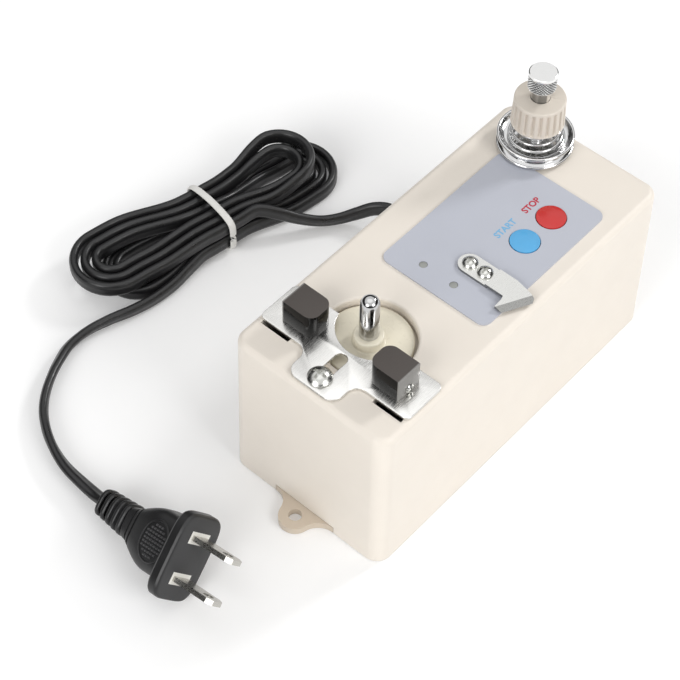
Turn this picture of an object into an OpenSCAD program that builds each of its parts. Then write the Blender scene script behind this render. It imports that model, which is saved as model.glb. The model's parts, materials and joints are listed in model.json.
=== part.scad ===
// Electric bobbin winder: a motor spindle in a moulded body, with a light-beam stop,
// a thread cutter, a thread tension and a tied mains cord with its plug.
// Z is up, the spindle end is towards -Y, and the origin is on the floor under the middle of the body.

/* [Body] */
// Width of the housing at its foot
body_w = 58; // [57:0.5:66]
// Length of the housing at its foot
body_l = 128; // [126:1:140]
// Height of the housing
body_h = 58; // [56:0.5:66]
// How far each side leans in from foot to top
draft = 0.7; // [0.2:0.1:1]
// Radius of the upright corners
corner_r = 5; // [4:0.5:7]
// Radius of the rounded edge round the top
edge_r = 2; // [1:0.25:3]
// Thickness of the side walls
wall = 2.2; // [1.8:0.1:2.6]
// Thickness of the top
top_t = 2.5; // [2:0.1:3]

/* [Base] */
// Thickness of the base plate and its ears
base_t = 2.5; // [2:0.1:3.5]
// Diameter of the hole in each mounting ear
ear_hole_d = 4.1; // [3.2:0.1:5]
// Distance from the end wall to the middle of the ear hole
ear_reach = 4; // [3.5:0.1:6]
// Width of the rim round the ear hole
ear_rim = 3; // [2:0.1:4]
// Radius of the flare between ear and wall
ear_flare_r = 6.5; // [6:0.1:8]
// Diameter of the base screws
base_screw_d = 2.9; // [2.5:0.1:3.5]

/* [Spindle] */
// Distance from the near end of the body to the spindle
spindle_from_end = 27; // [26:0.5:30]
// Diameter of the pin that carries the bobbin
pin_d = 5.8; // [4:0.1:7]
// Height of the pin above its collar
pin_h = 15.6; // [12:0.1:20]
// Diameter of the collar that the bobbin stands on
collar_d = 9.1; // [8:0.1:11]
// Height of the collar above the top of the body
collar_rise = 1.3; // [1.2:0.1:2.5]
// Diameter of the round seat
seat_d = 26.2; // [22:0.2:27]
// Depth of the seat below the top of the body
seat_drop = 2; // [1.8:0.1:2.8]
// Thickness of the seat
seat_t = 2; // [1.4:0.1:2.6]
// Gap round the seat in its recess
seat_gap = 0.9; // [0.6:0.1:1.4]

/* [Motor] */
// Outer diameter of the motor
motor_d = 27.6; // [24:0.2:30]
// Length of the motor can
motor_l = 31; // [26:0.5:33]
// Thickness of the motor can
can_t = 1; // [0.8:0.1:1.3]
// Diameter of the motor shaft
shaft_d = 2.3; // [2:0.1:3]
// Thickness of the bracket that carries the motor
bracket_t = 2; // [1.5:0.1:2.5]
// Drop from the underside of the top to the bracket
bracket_drop = 9.5; // [9:0.5:11]

/* [Sensor] */
// Thickness of the sliding sensor plate
plate_t = 1; // [0.8:0.1:1.4]
// Width of the sensor plate across its wings
plate_w = 54.4; // [50:0.2:55]
// Length of the wings
wing_l = 15.6; // [14:0.2:16]
// Width of the tongue that holds the screw
tongue_w = 17.6; // [14:0.2:20]
// Length of the tongue in front of the wings
tongue_l = 9.3; // [8.4:0.1:10]
// Radius of the round cut beside the seat
plate_cut_r = 11.5; // [10.5:0.1:12]
// Travel of the sensor plate away from the spindle
plate_travel = 4; // [2:0.5:5]
// Distance from the spindle to the light beam
beam_offset = 8; // [7.6:0.1:9]
// Gap between the facing sides of the two blocks
block_gap = 20.2; // [19:0.2:22]
// Length of a block across the beam
block_l = 9; // [8:0.2:9.6]
// Depth of a block along the beam
block_w = 11.1; // [10.4:0.1:11.4]
// Height of a block
block_h = 8.4; // [7.5:0.1:10]

/* [Panel] */
// Width of the control panel
panel_w = 39; // [38:0.5:42]
// Length of the control panel
panel_l = 57; // [56.5:0.5:60]
// Thickness of the control panel
panel_t = 0.5; // [0.3:0.1:0.8]
// Corner radius of the control panel
panel_r = 3; // [1:0.5:5]
// Diameter of the two buttons
button_d = 9; // [8:0.1:10]
// Distance between the two buttons
button_pitch = 12.5; // [12:0.1:13.5]
// Height of a button above the panel
button_rise = 0.6; // [0.55:0.05:1]
// Travel of a button
button_travel = 0.5; // [0.3:0.05:0.5]
// Diameter of the lamps
lamp_d = 2.4; // [2:0.1:3.2]
// Distance between the two lamps
lamp_pitch = 11.3; // [10:0.1:12]

/* [Cutter] */
// Thickness of the thread cutter
cutter_t = 0.9; // [0.7:0.1:1.2]
// Width of the cutter's strip
cutter_w = 7.2; // [6.4:0.1:8]
// How far the blade stands off the panel
cutter_step = 0.6; // [0.4:0.1:0.7]
// Width of the ground edge
bevel_w = 2.1; // [1.6:0.1:2.6]
// Distance between the cutter's screws
cutter_pitch = 5.5; // [5.2:0.1:6]
// Head diameter of the cutter's screws
cutter_head_d = 4.8; // [4:0.1:5]

/* [Tension] */
// Distance from the far end of the body to the tension post
tension_from_end = 11.5; // [11:0.5:13]
// Diameter of the tension discs
disc_d = 23.6; // [20:0.2:25]
// Thickness of the tension discs
disc_t = 0.6; // [0.5:0.05:0.7]
// Height of a disc's flared rim
disc_rise = 2.1; // [1.8:0.1:2.3]
// Diameter of the tension post
post_d = 5; // [4:0.1:5.4]
// Diameter of the ribbed knob
knob_d = 16.4; // [15.5:0.1:18]
// Height of the ribbed knob
knob_h = 9.8; // [8.4:0.1:10.5]
// Number of ribs on the knob
knob_ribs = 22; // [16:1:30]
// Diameter of the knurled head
head_d = 8.9; // [8:0.1:11]
// Height of the knurled head
head_h = 6; // [5:0.1:8]
// Diameter of the neck under the knurled head
neck_d = 5.8; // [5.8:0.1:6.6]
// Thread pitch of the knob
knob_pitch = 0.7; // [0.5:0.05:0.8]
// Turns of the knob down from rest
knob_turns = 3; // [1:0.5:3]
// Turns of the knob up from rest
knob_back = 3; // [1:0.5:3]
// Wire diameter of the tension spring
spring_wire = 0.9; // [0.7:0.05:1]
// Radius of the spring's widest coil
spring_r = 8.6; // [8:0.1:8.8]
// Number of coils
spring_coils = 4; // [3:0.5:4.5]

/* [Boards] */
// Thickness of the circuit boards
board_t = 1.6; // [1:0.1:2]
// Drop from the underside of the top to the control board
board_drop = 5.5; // [5.4:0.1:6.5]
// Width of the power board
power_w = 42; // [38:0.5:43]
// Length of the power board
power_l = 52; // [48:0.5:53]
// Height of the posts under the power board
power_post_h = 3.5; // [3:0.1:5]

/* [Cord] */
// Width of the flat cord
cord_w = 5.4; // [4.6:0.1:5.6]
// Thickness of the flat cord
cord_t = 3; // [2.7:0.1:3.1]
// Radius of the tightest fold of the hank
fold_r = 4.1; // [4:0.1:5]
// Half the straight length of the hank
hank_run = 33; // [31:1:36]
// Step between loops of one layer
hank_step = 3.6; // [3.6:0.1:4]
// Gap between layers
layer_gap = 0.6; // [0.5:0.1:1]
// Width of the cord tie
tie_w = 2.4; // [1.6:0.1:3]
// Thickness of the cord tie
tie_t = 1.2; // [0.8:0.1:1.3]
// Length of the strain relief outside the housing
relief_l = 20; // [16:0.5:20]
// Distance from the far end of the body to the cord
relief_from_end = 26; // [24:0.5:27]

/* [Plug] */
// Width of a blade
blade_w = 6.3; // [6:0.1:6.6]
// Thickness of a blade
blade_t = 1.5; // [1.4:0.05:1.6]
// Length of a blade in front of the plug
blade_l = 15.4; // [15:0.1:18.2]
// Distance between the blades
blade_pitch = 12.7; // [12.4:0.1:13]
// Width of the plug's flange
flange_w = 26.5; // [25:0.5:30]
// Height of the plug's flange
flange_h = 17; // [14:0.5:18]
// Thickness of the plug's flange
flange_t = 4.4; // [4:0.2:6]

/* [Clearances] */
// Gap between the base plate and the walls
base_gap = 0.2; // [0.1:0.05:0.4]
// Gap over and under the sliding plate
slide_gap = 0.1; // [0.05:0.05:0.2]
// Gap round a shaft in its bush
run_gap = 0.05; // [0.02:0.01:0.1]
// Gap round a button in its hole
button_gap = 0.2; // [0.1:0.05:0.3]
// Gap round a screw in its hole
screw_gap = 0.1; // [0.05:0.05:0.2]
// Gap between pieces that stand beside each other
part_gap = 0.3; // [0.2:0.05:0.4]

/* [Hidden] */
$fn = 48;
cut = 0.5;

// Body planes
half_w = body_w / 2;
half_l = body_l / 2;
in_top = body_h - top_t;
in_w = half_w - wall;
in_l = half_l - wall;
in_w_top = in_w - draft;
in_l_top = in_l - draft;
boss_r = 3.4;
boss_merge = 0.7;

// Base plate and its four corner screws
ear_r = ear_hole_d / 2 + ear_rim;
ear_y = half_l + ear_reach;
flare_x = sqrt(pow(ear_r + ear_flare_r, 2) - pow(ear_flare_r - ear_reach, 2));
base_boss = [in_w - boss_r + boss_merge - draft, in_l - boss_r + boss_merge - draft];
base_boss_h = 14;
base_head_h = 1.6;
base_screw_l = 9;

// Spindle
spindle_y = spindle_from_end - half_l;
seat_top = body_h - seat_drop;
seat_low = seat_top - seat_t;
collar_top = body_h + collar_rise;
pin_top = collar_top + pin_h;
recess_r = seat_d / 2 + seat_gap;
recess_floor = seat_low - part_gap * 2;
recess_wall = 1.8;
// Rounded edge of the recess
recess_edge = 0.8;
hub_r = 5;
hub_hole_r = hub_r + part_gap * 2;
bracket_top = in_top - bracket_drop;
bracket_low = bracket_top - bracket_t;
hub_low = bracket_top + 1;
pin_low = seat_low - 1;
pin_root_d = pin_d - 0.8;

// Motor
motor_r = motor_d / 2;
motor_low = bracket_low - motor_l;
cap_h = 3;
bush_r = 3;
bush_h = 3;
nose_r = 5;
armature_r = motor_r - can_t - 4.2;
armature_l = motor_l * 0.5;
motor_screw_d = 2.5;
motor_screw_x = 8;
bracket_boss = [in_w_top - 5.6, 20.5];
bracket_back = 13;

// Sensor plate, in the place it has at rest
plate_low = body_h + slide_gap;
plate_top = plate_low + plate_t;
beam_y = spindle_y - beam_offset;
wing_front = beam_y - wing_l / 2 + 0.2;
tongue_end = wing_front - tongue_l;
plate_screw_d = 3;
plate_screw_y = tongue_end + 4.4;
slot_w = plate_screw_d + 1;
slot_end = plate_screw_y + plate_travel + slot_w + 2.6;
plate_cut_y = spindle_y + 3;
plate_head_d = 7.2;
block_out = block_gap / 2 + block_w;
block_round = block_l * 0.35;
led_x = block_out - 3.9;
led_d = 3;
led_h = 5.2;
pocket_r = led_d / 2 + 0.6;
pocket_h = led_h + 0.5;
leg_d = 0.6;
leg_pitch = 1.6;
window_x = [block_out - 5.7, block_out + 4.6];
window_y = [beam_y - plate_travel - 4.6, beam_y + 4.2];
block_screw_d = 1.8;
block_screw_z = plate_top + 1.9;

// Control panel, buttons and lamps
panel_x = 2.9;
panel_y = 15.2;
panel_top = body_h + panel_t;
button_x = panel_x + 8;
stop_y = panel_y + 16.8;
start_y = stop_y - button_pitch;
button_flange_t = 0.5;
button_flange_r = button_d / 2 + 0.8;
button_low = in_top - button_flange_t - screw_gap;
lamp_y = panel_y - 22.2;
lamp_mid = panel_x - 2.6;
board_top = in_top - board_drop;
board_low = board_top - board_t;
switch_w = 6;
switch_top = button_low - button_travel - screw_gap;
switch_body_top = switch_top - 0.7;
board_hole = [panel_w / 2 - 3, panel_l / 2 - 3];
board_boss_r = 2.4;
board_screw_d = 2.2;
board_head_d = 4;
board_head_h = 1.4;

// Thread cutter
cutter_x = panel_x + 1.9;
cutter_y = panel_y - 13.4;
cutter_end = cutter_x + 22.4;
cutter_screw_d = 2.2;
cutter_boss_r = 2.5;
hook_l = 7;
hook_drop = 8.2;
edge_run = 4.4;
edge_out = 0.4;
nose_back = 8;
tip_back = 3;
tip_in = 1;
strip_overlap = 2.7;

// Tension unit
tension_x = -11.3;
tension_y = half_l - tension_from_end;
disc_mid = panel_top + 0.4 + disc_rise;
disc_r = disc_d / 2;
disc_flat_r = disc_r - 2.6;
rim_r = 0.5;
knob_low = disc_mid + disc_t + 6.7;
knob_top = knob_low + knob_h;
knob_r = knob_d / 2;
rib_depth = 0.5;
knob_lean = 0.4;
knob_rim = 0.7;
washer_t = 0.9;
washer_r = 6.6;
washer_low = knob_low + 0.5;
thread_low = washer_low + washer_t + screw_gap;
knob_travel = knob_pitch * knob_turns;
knob_lift = knob_pitch * knob_back;
neck_low = knob_top - knob_travel - part_gap;
thread_top = neck_low - knob_lift - part_gap;
// Neck left bare over the knob at the top of its travel
neck_bare = 2.1;
head_low = knob_top + knob_lift + neck_bare;
head_top = head_low + head_h;
post_top = head_low + 3.5;
nut_h = 4;
post_low = in_top - nut_h - 2;
post_flange_r = 4;

// Power board and what stands on it
power_y = half_l - 39;
power_low = base_t + power_post_h;
power_top = power_low + board_t;
power_hole = [power_w / 2 - 3, power_l / 2 - 3];
power_post_r = 3;
core = [25, 32, 22];
core_leg = 6;
core_off = [7.5, -4];
core_at = [core_off.x, power_y + core_off.y];
capacitor_d = 12.5;
capacitor_h = 21;
capacitor_from = [1, 7];
capacitor_at = [capacitor_d / 2 - power_w / 2 + capacitor_from.x,
    power_y + capacitor_d / 2 - power_l / 2 + capacitor_from.y];
terminal = [8, 11, 9];
terminal_from = 6.5;
relief_y = half_l - relief_from_end;
relief_z = 8;
relief_hole_r = 4;
relief_root_r = 5.4;
relief_tip_r = 3.7;
relief_x = -half_w - relief_l;
flange_out = 2;
relief_neck = wall + draft * (relief_z + relief_root_r) / body_h;
relief_in = relief_neck + 1.4;
wire_r = 1.1;
wire_pitch = 3;

// Cord route: each point is x, y, z and the turn of the flat cord about its run.
// A turn of 0 lies flat and a turn of 90 stands on edge.
hank_mid = [-96.8, -2.8];
hank_turn = -8.4;
waist_in = fold_r - 0.9;
waist_half = 6;
waist_lift = 1.6;
fan_lift = 7.6;
near_lean = 4.2;
layer_slide = 7;
run_share = 0.15;
climb_share = 0.18;
loop_rings = 24;
loops = 5;
climb_at = loops / 2;
lead_points = [[-59.4, 35.8, 6.6, 90], [-63.4, 31.8, 4.6, 85], [-67, 27, 3.4, 75], [-70.8, 22, 3.6, 70],
    [-75.2, 16.8, 5.8, 75], [-79.8, 12.4, 8.4, 85], [-83.4, 9.2, 9.8, 90]];
tail_points = [[-88.2, -21.2, 3.8, 90], [-87.6, -29.4, 3.2, 85], [-88.2, -37.4, 2.9, 80],
    [-90, -45.2, 2.8, 75], [-92.8, -52.8, 2.7, 70], [-94.8, -60.6, 2.6, 60],
    [-94.9, -68.4, 2.5, 55], [-93, -74.6, 2.5, 60],
    [-90.2, -80.6, 2.7, 70], [-86.2, -87, 2.8, 80], [-81.6, -92, 2.8, 90], [-76.4, -95.8, 2.8, 90],
    [-70.8, -98.6, 2.8, 100], [-65, -100.6, 2.9, 115], [-59, -101.8, 3.2, 130]];

// Plug pose
plug_at = [-6.75, -104.65, 14.4];
plug_yaw = -1.4;
plug_pitch = 14.3;
plug_roll = 38;
boot_yaw = -3;
boot_l = 13.6;
plug_l = 24.4;
// End of the full width of the grip, and start of the collar between grip and boot
grip_full = 12;
grip_l = 20;
boot_ribs = 5;

// Straight walls with rounded corners, true arcs
module rounded(w, l, r) {
    square([w - 2 * r, l], center = true);
    square([w, l - 2 * r], center = true);
    for (x = [-1, 1], y = [-1, 1])
        translate([x * (w / 2 - r), y * (l / 2 - r)]) circle(r = r);
}

// A pan-head screw with a cross recess, its head on z = 0 and its shank below
module pan_screw(head, head_h, d, l) {
    dome = (pow(head / 2, 2) + pow(head_h, 2)) / (2 * head_h) * 1.15;
    difference() {
        union() {
            intersection() {
                translate([0, 0, head_h - dome]) sphere(r = dome);
                cylinder(d = head, h = head_h);
            }
            translate([0, 0, -l]) cylinder(d = d, h = l + head_h * 0.4);
        }
        for (a = [0, 90]) rotate(a)
            translate([-head * 0.3, -head * 0.07, head_h * 0.5]) cube([head * 0.6, head * 0.14, head_h]);
    }
}

// A boss hanging from the underside of the top, down to z
module hung_boss(r, z) {
    translate([0, 0, z]) cylinder(r = r, h = in_top - z + cut);
}

module at_spindle() { translate([0, spindle_y, 0]) children(); }
module at_tension() { translate([tension_x, tension_y, 0]) children(); }
module at_base_bosses() {
    for (x = [-1, 1], y = [-1, 1]) translate([x * base_boss.x, y * base_boss.y]) children();
}
module at_bracket_bosses() {
    for (x = [-1, 1], y = [-bracket_boss.y, bracket_back])
        translate([x * bracket_boss.x, spindle_y + y]) children();
}
module at_board_holes() {
    for (x = [-1, 1], y = [-1, 1])
        translate([panel_x + x * board_hole.x, panel_y + y * board_hole.y]) children();
}
module at_power_holes() {
    for (x = [-1, 1], y = [-1, 1]) translate([x * power_hole.x, power_y + y * power_hole.y]) children();
}
module at_buttons() { for (y = [start_y, stop_y]) translate([button_x, y]) children(); }
module at_lamps() { for (x = [-1, 1]) translate([lamp_mid + x * lamp_pitch / 2, lamp_y]) children(); }
module at_cutter_screws() { for (i = [0, 1]) translate([cutter_x + i * cutter_pitch, cutter_y]) children(); }

// The outer skin leans in by the draft and its top edge is round
module outer_skin() {
    hull() {
        for (x = [-1, 1], y = [-1, 1]) {
            translate([x * (half_w - corner_r), y * (half_l - corner_r)])
                cylinder(r = corner_r, h = cut, $fn = 64);
            translate([x * (half_w - draft - corner_r), y * (half_l - draft - corner_r), body_h - edge_r])
                rotate_extrude($fn = 64) translate([corner_r - edge_r, 0]) circle(r = edge_r, $fn = 32);
        }
    }
}

module inner_skin() {
    r = corner_r - wall;
    hull() {
        for (x = [-1, 1], y = [-1, 1]) {
            translate([x * (in_w - r), y * (in_l - r), -cut]) cylinder(r = r, h = cut, $fn = 32);
            translate([x * (in_w_top - r), y * (in_l_top - r), in_top - cut])
                cylinder(r = r, h = cut, $fn = 32);
        }
    }
}

// Everything that stands inside the shell, before it is drilled
module housing_ribs() {
    at_spindle() translate([0, 0, recess_floor - recess_wall])
        cylinder(r = recess_r + recess_wall, h = in_top - recess_floor + recess_wall + cut);
    at_base_bosses() translate([0, 0, base_t]) cylinder(r = boss_r, h = base_boss_h);
    at_bracket_bosses() hung_boss(boss_r, bracket_top);
    at_board_holes() hung_boss(board_boss_r, board_top);
    at_cutter_screws() hung_boss(cutter_boss_r, in_top - 4);
    translate([0, plate_screw_y]) hung_boss(boss_r, in_top - 6);
}

// Blind holes for screws that bite upwards into a boss
module blind(d, z, l) { translate([0, 0, z - cut]) cylinder(d = d + 2 * screw_gap, h = l + 2 * cut); }

// The rounded top edge of the bobbin recess
module recess_rim() {
    e = recess_edge;
    translate([0, 0, body_h]) rotate_extrude() translate([recess_r, 0])
        polygon([[-1, -e], [0, -e], [0.13 * e, -0.5 * e], [0.5 * e, -0.13 * e], [e, 0],
            [e + 4 * cut, cut], [-1, cut]]);
}
module housing_cuts() {
    at_spindle() {
        translate([0, 0, recess_floor]) cylinder(r = recess_r, h = body_h);
        recess_rim();
        translate([0, 0, recess_floor - recess_wall - cut]) cylinder(r = hub_hole_r, h = body_h);
    }
    at_base_bosses() blind(base_screw_d, base_t, base_screw_l);
    at_bracket_bosses() blind(plate_screw_d, bracket_top, 5);
    at_board_holes() blind(board_screw_d, board_top, 5);
    at_cutter_screws() blind(cutter_screw_d, in_top - 3.5, top_t + 3.5);
    translate([0, plate_screw_y]) blind(plate_screw_d, in_top - 5, top_t + 5);
    translate([-slot_w / 2, plate_screw_y + 4, body_h - 1.2])
        cube([slot_w, slot_end - plate_screw_y - 3, 1.2 + cut]);
    for (s = [0, 1]) mirror([s, 0, 0])
        translate([window_x[0], window_y[0], in_top - cut])
            cube([window_x[1] - window_x[0], window_y[1] - window_y[0], top_t + 2 * cut]);
    at_buttons() translate([0, 0, in_top - cut]) cylinder(r = button_d / 2 + button_gap, h = top_t + 2 * cut);
    at_lamps() translate([0, 0, in_top - cut]) cylinder(r = lamp_d / 2 + button_gap / 2, h = top_t + 2 * cut);
    at_tension() translate([0, 0, in_top - cut]) cylinder(r = post_d / 2 + screw_gap, h = top_t + 2 * cut);
    translate([-half_w - cut, relief_y, relief_z]) rotate([0, 90, 0])
        cylinder(r = relief_hole_r + screw_gap, h = wall + draft + 3 * cut);
    for (y = [-1, 1]) translate([-flare_x - base_gap, y * half_l - wall - draft, -cut])
        cube([2 * (flare_x + base_gap), 2 * (wall + draft), base_t + base_gap + cut]);
}

module housing() {
    color("#ece4d9") difference() {
        union() {
            difference() {
                outer_skin();
                inner_skin();
            }
            housing_ribs();
        }
        housing_cuts();
    }
}

module ear_outline() {
    tangent = ear_r / (ear_r + ear_flare_r);
    root = -wall - draft - 2 * base_gap;
    difference() {
        union() {
            translate([0, ear_reach]) circle(r = ear_r);
            polygon([[-flare_x, root], [flare_x, root], [flare_x, 0],
                [flare_x * tangent, ear_reach + (ear_flare_r - ear_reach) * tangent],
                [-flare_x * tangent, ear_reach + (ear_flare_r - ear_reach) * tangent], [-flare_x, 0]]);
        }
        for (x = [-1, 1]) translate([x * flare_x, ear_flare_r]) circle(r = ear_flare_r);
        translate([0, ear_reach]) circle(d = ear_hole_d);
    }
}

module base_plate() {
    w = 2 * (in_w - base_gap - draft * base_t / body_h);
    l = 2 * (in_l - base_gap - draft * base_t / body_h);
    color("#e8dfd2") difference() {
        union() {
            linear_extrude(base_t) rounded(w, l, corner_r - wall);
            for (a = [0, 180]) rotate(a) translate([0, half_l, 0]) linear_extrude(base_t) ear_outline();
            at_power_holes() cylinder(r = power_post_r, h = power_low);
        }
        at_base_bosses() {
            translate([0, 0, -cut]) cylinder(d = base_screw_d + 2 * screw_gap, h = base_t + 2 * cut);
            translate([0, 0, -cut]) cylinder(d = 2 * base_screw_d + 2 * screw_gap, h = base_head_h + cut);
        }
        at_power_holes() translate([0, 0, base_t]) cylinder(d = board_screw_d + 2 * screw_gap, h = power_low);
    }
}

module base_screws() {
    color("silver") at_base_bosses() translate([0, 0, base_head_h]) mirror([0, 0, 1])
        pan_screw(2 * base_screw_d, base_head_h - 0.2, base_screw_d, base_t - base_head_h + base_screw_l - 1);
}

module control_panel() {
    color("#c1c2cd") difference() {
        translate([panel_x, panel_y, body_h]) linear_extrude(panel_t) rounded(panel_w, panel_l, panel_r);
        at_buttons() cylinder(r = button_d / 2 + button_gap, h = 2 * body_h);
        at_lamps() cylinder(r = lamp_d / 2 + button_gap / 2, h = 2 * body_h);
        at_cutter_screws() cylinder(d = cutter_screw_d + 2 * screw_gap, h = 2 * body_h);
    }
}

// A low crowned cap on a guided stem, with a flange that stops it under the top
module button() {
    crown = 0.35;
    dome = (pow(button_d / 2, 2) + pow(crown, 2)) / (2 * crown);
    intersection() {
        translate([0, 0, button_low]) cylinder(d = button_d, h = panel_top + button_rise - button_low);
        translate([0, 0, panel_top + button_rise - dome]) sphere(r = dome);
    }
    translate([0, 0, button_low]) cylinder(r = button_flange_r, h = button_flange_t);
}

module start_button() { color("#69b9eb") translate([button_x, start_y]) button(); }
module stop_button() { color("#d73c3c") translate([button_x, stop_y]) button(); }

module push_switches() {
    color("#303030") at_buttons() {
        translate([-switch_w / 2, -switch_w / 2, board_top])
            cube([switch_w, switch_w, switch_body_top - board_top]);
        cylinder_h = switch_top - switch_body_top;
        translate([0, 0, switch_body_top - cut]) cylinder(d = 3.4, h = cylinder_h + cut);
    }
}

// A lamp stands on two legs on the control board and its round tip is level with the panel
module lamp() {
    shoulder = in_top - 1.2;
    for (x = [-1, 1]) translate([x * leg_pitch / 2, 0, board_top])
        cylinder(d = leg_d, h = shoulder - board_top + cut);
    translate([0, 0, shoulder]) cylinder(d = lamp_d + 1.2, h = 1);
    translate([0, 0, shoulder]) cylinder(d = lamp_d, h = panel_top - shoulder - 0.2);
    intersection() {
        translate([0, 0, panel_top - 2 * lamp_d]) sphere(r = 2 * lamp_d);
        translate([0, 0, shoulder]) cylinder(d = lamp_d, h = panel_top);
    }
}

module power_lamp() { color("#9aa08c") translate([lamp_mid - lamp_pitch / 2, lamp_y]) lamp(); }
module winding_lamp() { color("#9aa08c") translate([lamp_mid + lamp_pitch / 2, lamp_y]) lamp(); }

// The blade's outline on the strip's own middle line, from the hook's notch round the ground edge
module cutter_blade() {
    e = cutter_end - cutter_x;
    half = cutter_w / 2;
    polygon([[cutter_pitch + strip_overlap, -half], [e - hook_l - 0.6, -half],
        [e - hook_l - 0.2, -half - 1.4], [e - hook_l, -hook_drop], [e - edge_run, -hook_drop], [e, edge_out],
        [e - 0.6, edge_out + 1.4], [e - tip_back, half - tip_in], [e - nose_back, half],
        [cutter_pitch + strip_overlap, half]]);
}

module thread_cutter() {
    blade_low = panel_top + cutter_step;
    e = cutter_end - cutter_x;
    edge_turn = atan2(hook_drop + edge_out, edge_run);
    color("#d8d8d6") translate([cutter_x, cutter_y, 0]) difference() {
        union() {
            translate([0, 0, panel_top]) linear_extrude(cutter_t) {
                circle(d = cutter_w);
                translate([0, -cutter_w / 2]) square([cutter_pitch + 3.4, cutter_w]);
            }
            translate([0, 0, blade_low]) linear_extrude(cutter_t) cutter_blade();
        }
        for (i = [0, 1]) translate([i * cutter_pitch, 0, 0])
            cylinder(d = cutter_screw_d + 2 * screw_gap, h = 2 * body_h);
        translate([e, edge_out, blade_low]) rotate([0, 0, edge_turn])
            rotate([atan2(cutter_t, bevel_w), 0, 0]) translate([-20, -10, 0]) cube([40, 20, 10]);
    }
}

module cutter_screws() {
    color("silver") at_cutter_screws() translate([0, 0, panel_top + cutter_t])
        pan_screw(cutter_head_d, 1.7, cutter_screw_d, cutter_t + panel_t + top_t + 2.5);
}

module plate_outline() {
    corner = 2;
    front = 3.8;
    neck = 3.6;
    wing_mid = wing_front + wing_l / 2;
    difference() {
        union() {
            translate([0, wing_mid]) rounded(plate_w, wing_l, corner);
            translate([0, (tongue_end + wing_mid) / 2]) rounded(tongue_w, wing_mid - tongue_end, front);
            translate([-tongue_w / 2 - neck, wing_front - neck]) square([tongue_w + 2 * neck, neck + corner]);
        }
        for (x = [-1, 1]) translate([x * (tongue_w / 2 + neck), wing_front - neck]) circle(r = neck);
        translate([0, plate_cut_y]) circle(r = plate_cut_r);
        hull() {
            translate([0, plate_screw_y]) circle(d = slot_w, $fn = 32);
            translate([0, slot_end - slot_w / 2]) circle(d = slot_w, $fn = 32);
        }
        for (x = [-led_x, led_x]) translate([x, beam_y]) circle(r = pocket_r - 0.3);
    }
}

module sensor_plate() {
    color("#e6e6e6") translate([0, 0, plate_low]) linear_extrude(plate_t) plate_outline();
}

module plate_screw() {
    color("silver") translate([0, plate_screw_y, plate_top + slide_gap])
        pan_screw(plate_head_d, 2.3, plate_screw_d, plate_t + 2 * slide_gap + top_t + 4);
}

// A smoked block with round corners towards the beam, hollow for the part inside it
module block() {
    difference() {
        translate([0, beam_y, plate_top]) linear_extrude(block_h) {
            translate([block_gap / 2 + block_w / 2, 0]) rounded(block_w, block_l, block_round);
            translate([block_out - block_w / 2, -block_l / 2]) square([block_w / 2, block_l]);
        }
        translate([led_x, beam_y, plate_top - cut]) cylinder(r = pocket_r, h = pocket_h + cut);
        translate([led_x, beam_y, block_screw_z]) rotate([0, 90, 0])
            cylinder(d = block_screw_d + 2 * screw_gap, h = block_w);
    }
}

module emitter_block() { color("#4a4644") mirror([1, 0, 0]) block(); }
module receiver_block() { color("#4a4644") block(); }

// The part in a block stands on the plate, with two legs down through the window
module sensor_part() {
    translate([led_x, beam_y, plate_top]) {
        cylinder(d = led_d, h = led_h - led_d / 2);
        translate([0, 0, led_h - led_d / 2]) sphere(d = led_d);
        for (y = [-1, 1]) translate([0, y * leg_pitch / 2, -plate_t - top_t - 3])
            cylinder(d = leg_d, h = plate_t + top_t + 3 + cut);
    }
}

module emitter_led() { color("#b8c4d8") mirror([1, 0, 0]) sensor_part(); }
module receiver_sensor() { color("#202020") sensor_part(); }

module block_screws() {
    l = block_out - led_x - led_d / 2 - 0.05;
    color("silver") for (s = [0, 1]) mirror([s, 0, 0])
        translate([block_out, beam_y, block_screw_z]) rotate([0, 90, 0]) pan_screw(3, 1.1, block_screw_d, l);
}

// A disc with a collar above and a hub below, bored for the pin and the motor shaft
module bobbin_seat() {
    color("#e6e0cd") at_spindle() difference() {
        union() {
            translate([0, 0, seat_low]) cylinder(d = seat_d, h = seat_t, $fn = 96);
            translate([0, 0, seat_low]) cylinder(d = collar_d, h = collar_top - seat_low);
            translate([0, 0, hub_low]) cylinder(r = hub_r, h = seat_low - hub_low + cut);
        }
        translate([0, 0, pin_low]) cylinder(d = pin_root_d, h = body_h);
        translate([0, 0, hub_low - cut]) cylinder(d = shaft_d, h = body_h);
    }
}

module spindle_pin() {
    tip = 1.6;
    color("#d0d0d0") at_spindle() {
        translate([0, 0, pin_low]) cylinder(d = pin_root_d, h = collar_top - pin_low + cut);
        translate([0, 0, collar_top]) cylinder(d = pin_d, h = pin_h - tip);
        translate([0, 0, pin_top - tip]) cylinder(d1 = pin_d, d2 = pin_d * 0.55, h = tip);
    }
}

module motor_rotor() {
    mid = motor_low + motor_l / 2 + 1;
    color("#b87a4a") at_spindle() {
        translate([0, 0, motor_low - 1]) cylinder(d = shaft_d, h = pin_low - motor_low + 1);
        translate([0, 0, mid - armature_l / 2]) cylinder(r = armature_r, h = armature_l);
    }
}

module motor_can() {
    color("#a8a8a8") at_spindle() difference() {
        union() {
            translate([0, 0, motor_low]) cylinder(r = motor_r, h = motor_l);
            translate([0, 0, bracket_low - cut]) cylinder(r = nose_r, h = bracket_t + cut);
        }
        translate([0, 0, motor_low - cut]) cylinder(r = motor_r - can_t, h = motor_l - can_t + cut);
        translate([0, 0, motor_low]) cylinder(r = bush_r, h = body_h);
        for (x = [-1, 1]) translate([x * motor_screw_x, 0, motor_low])
            cylinder(d = motor_screw_d + 2 * screw_gap, h = body_h);
    }
}

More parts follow.
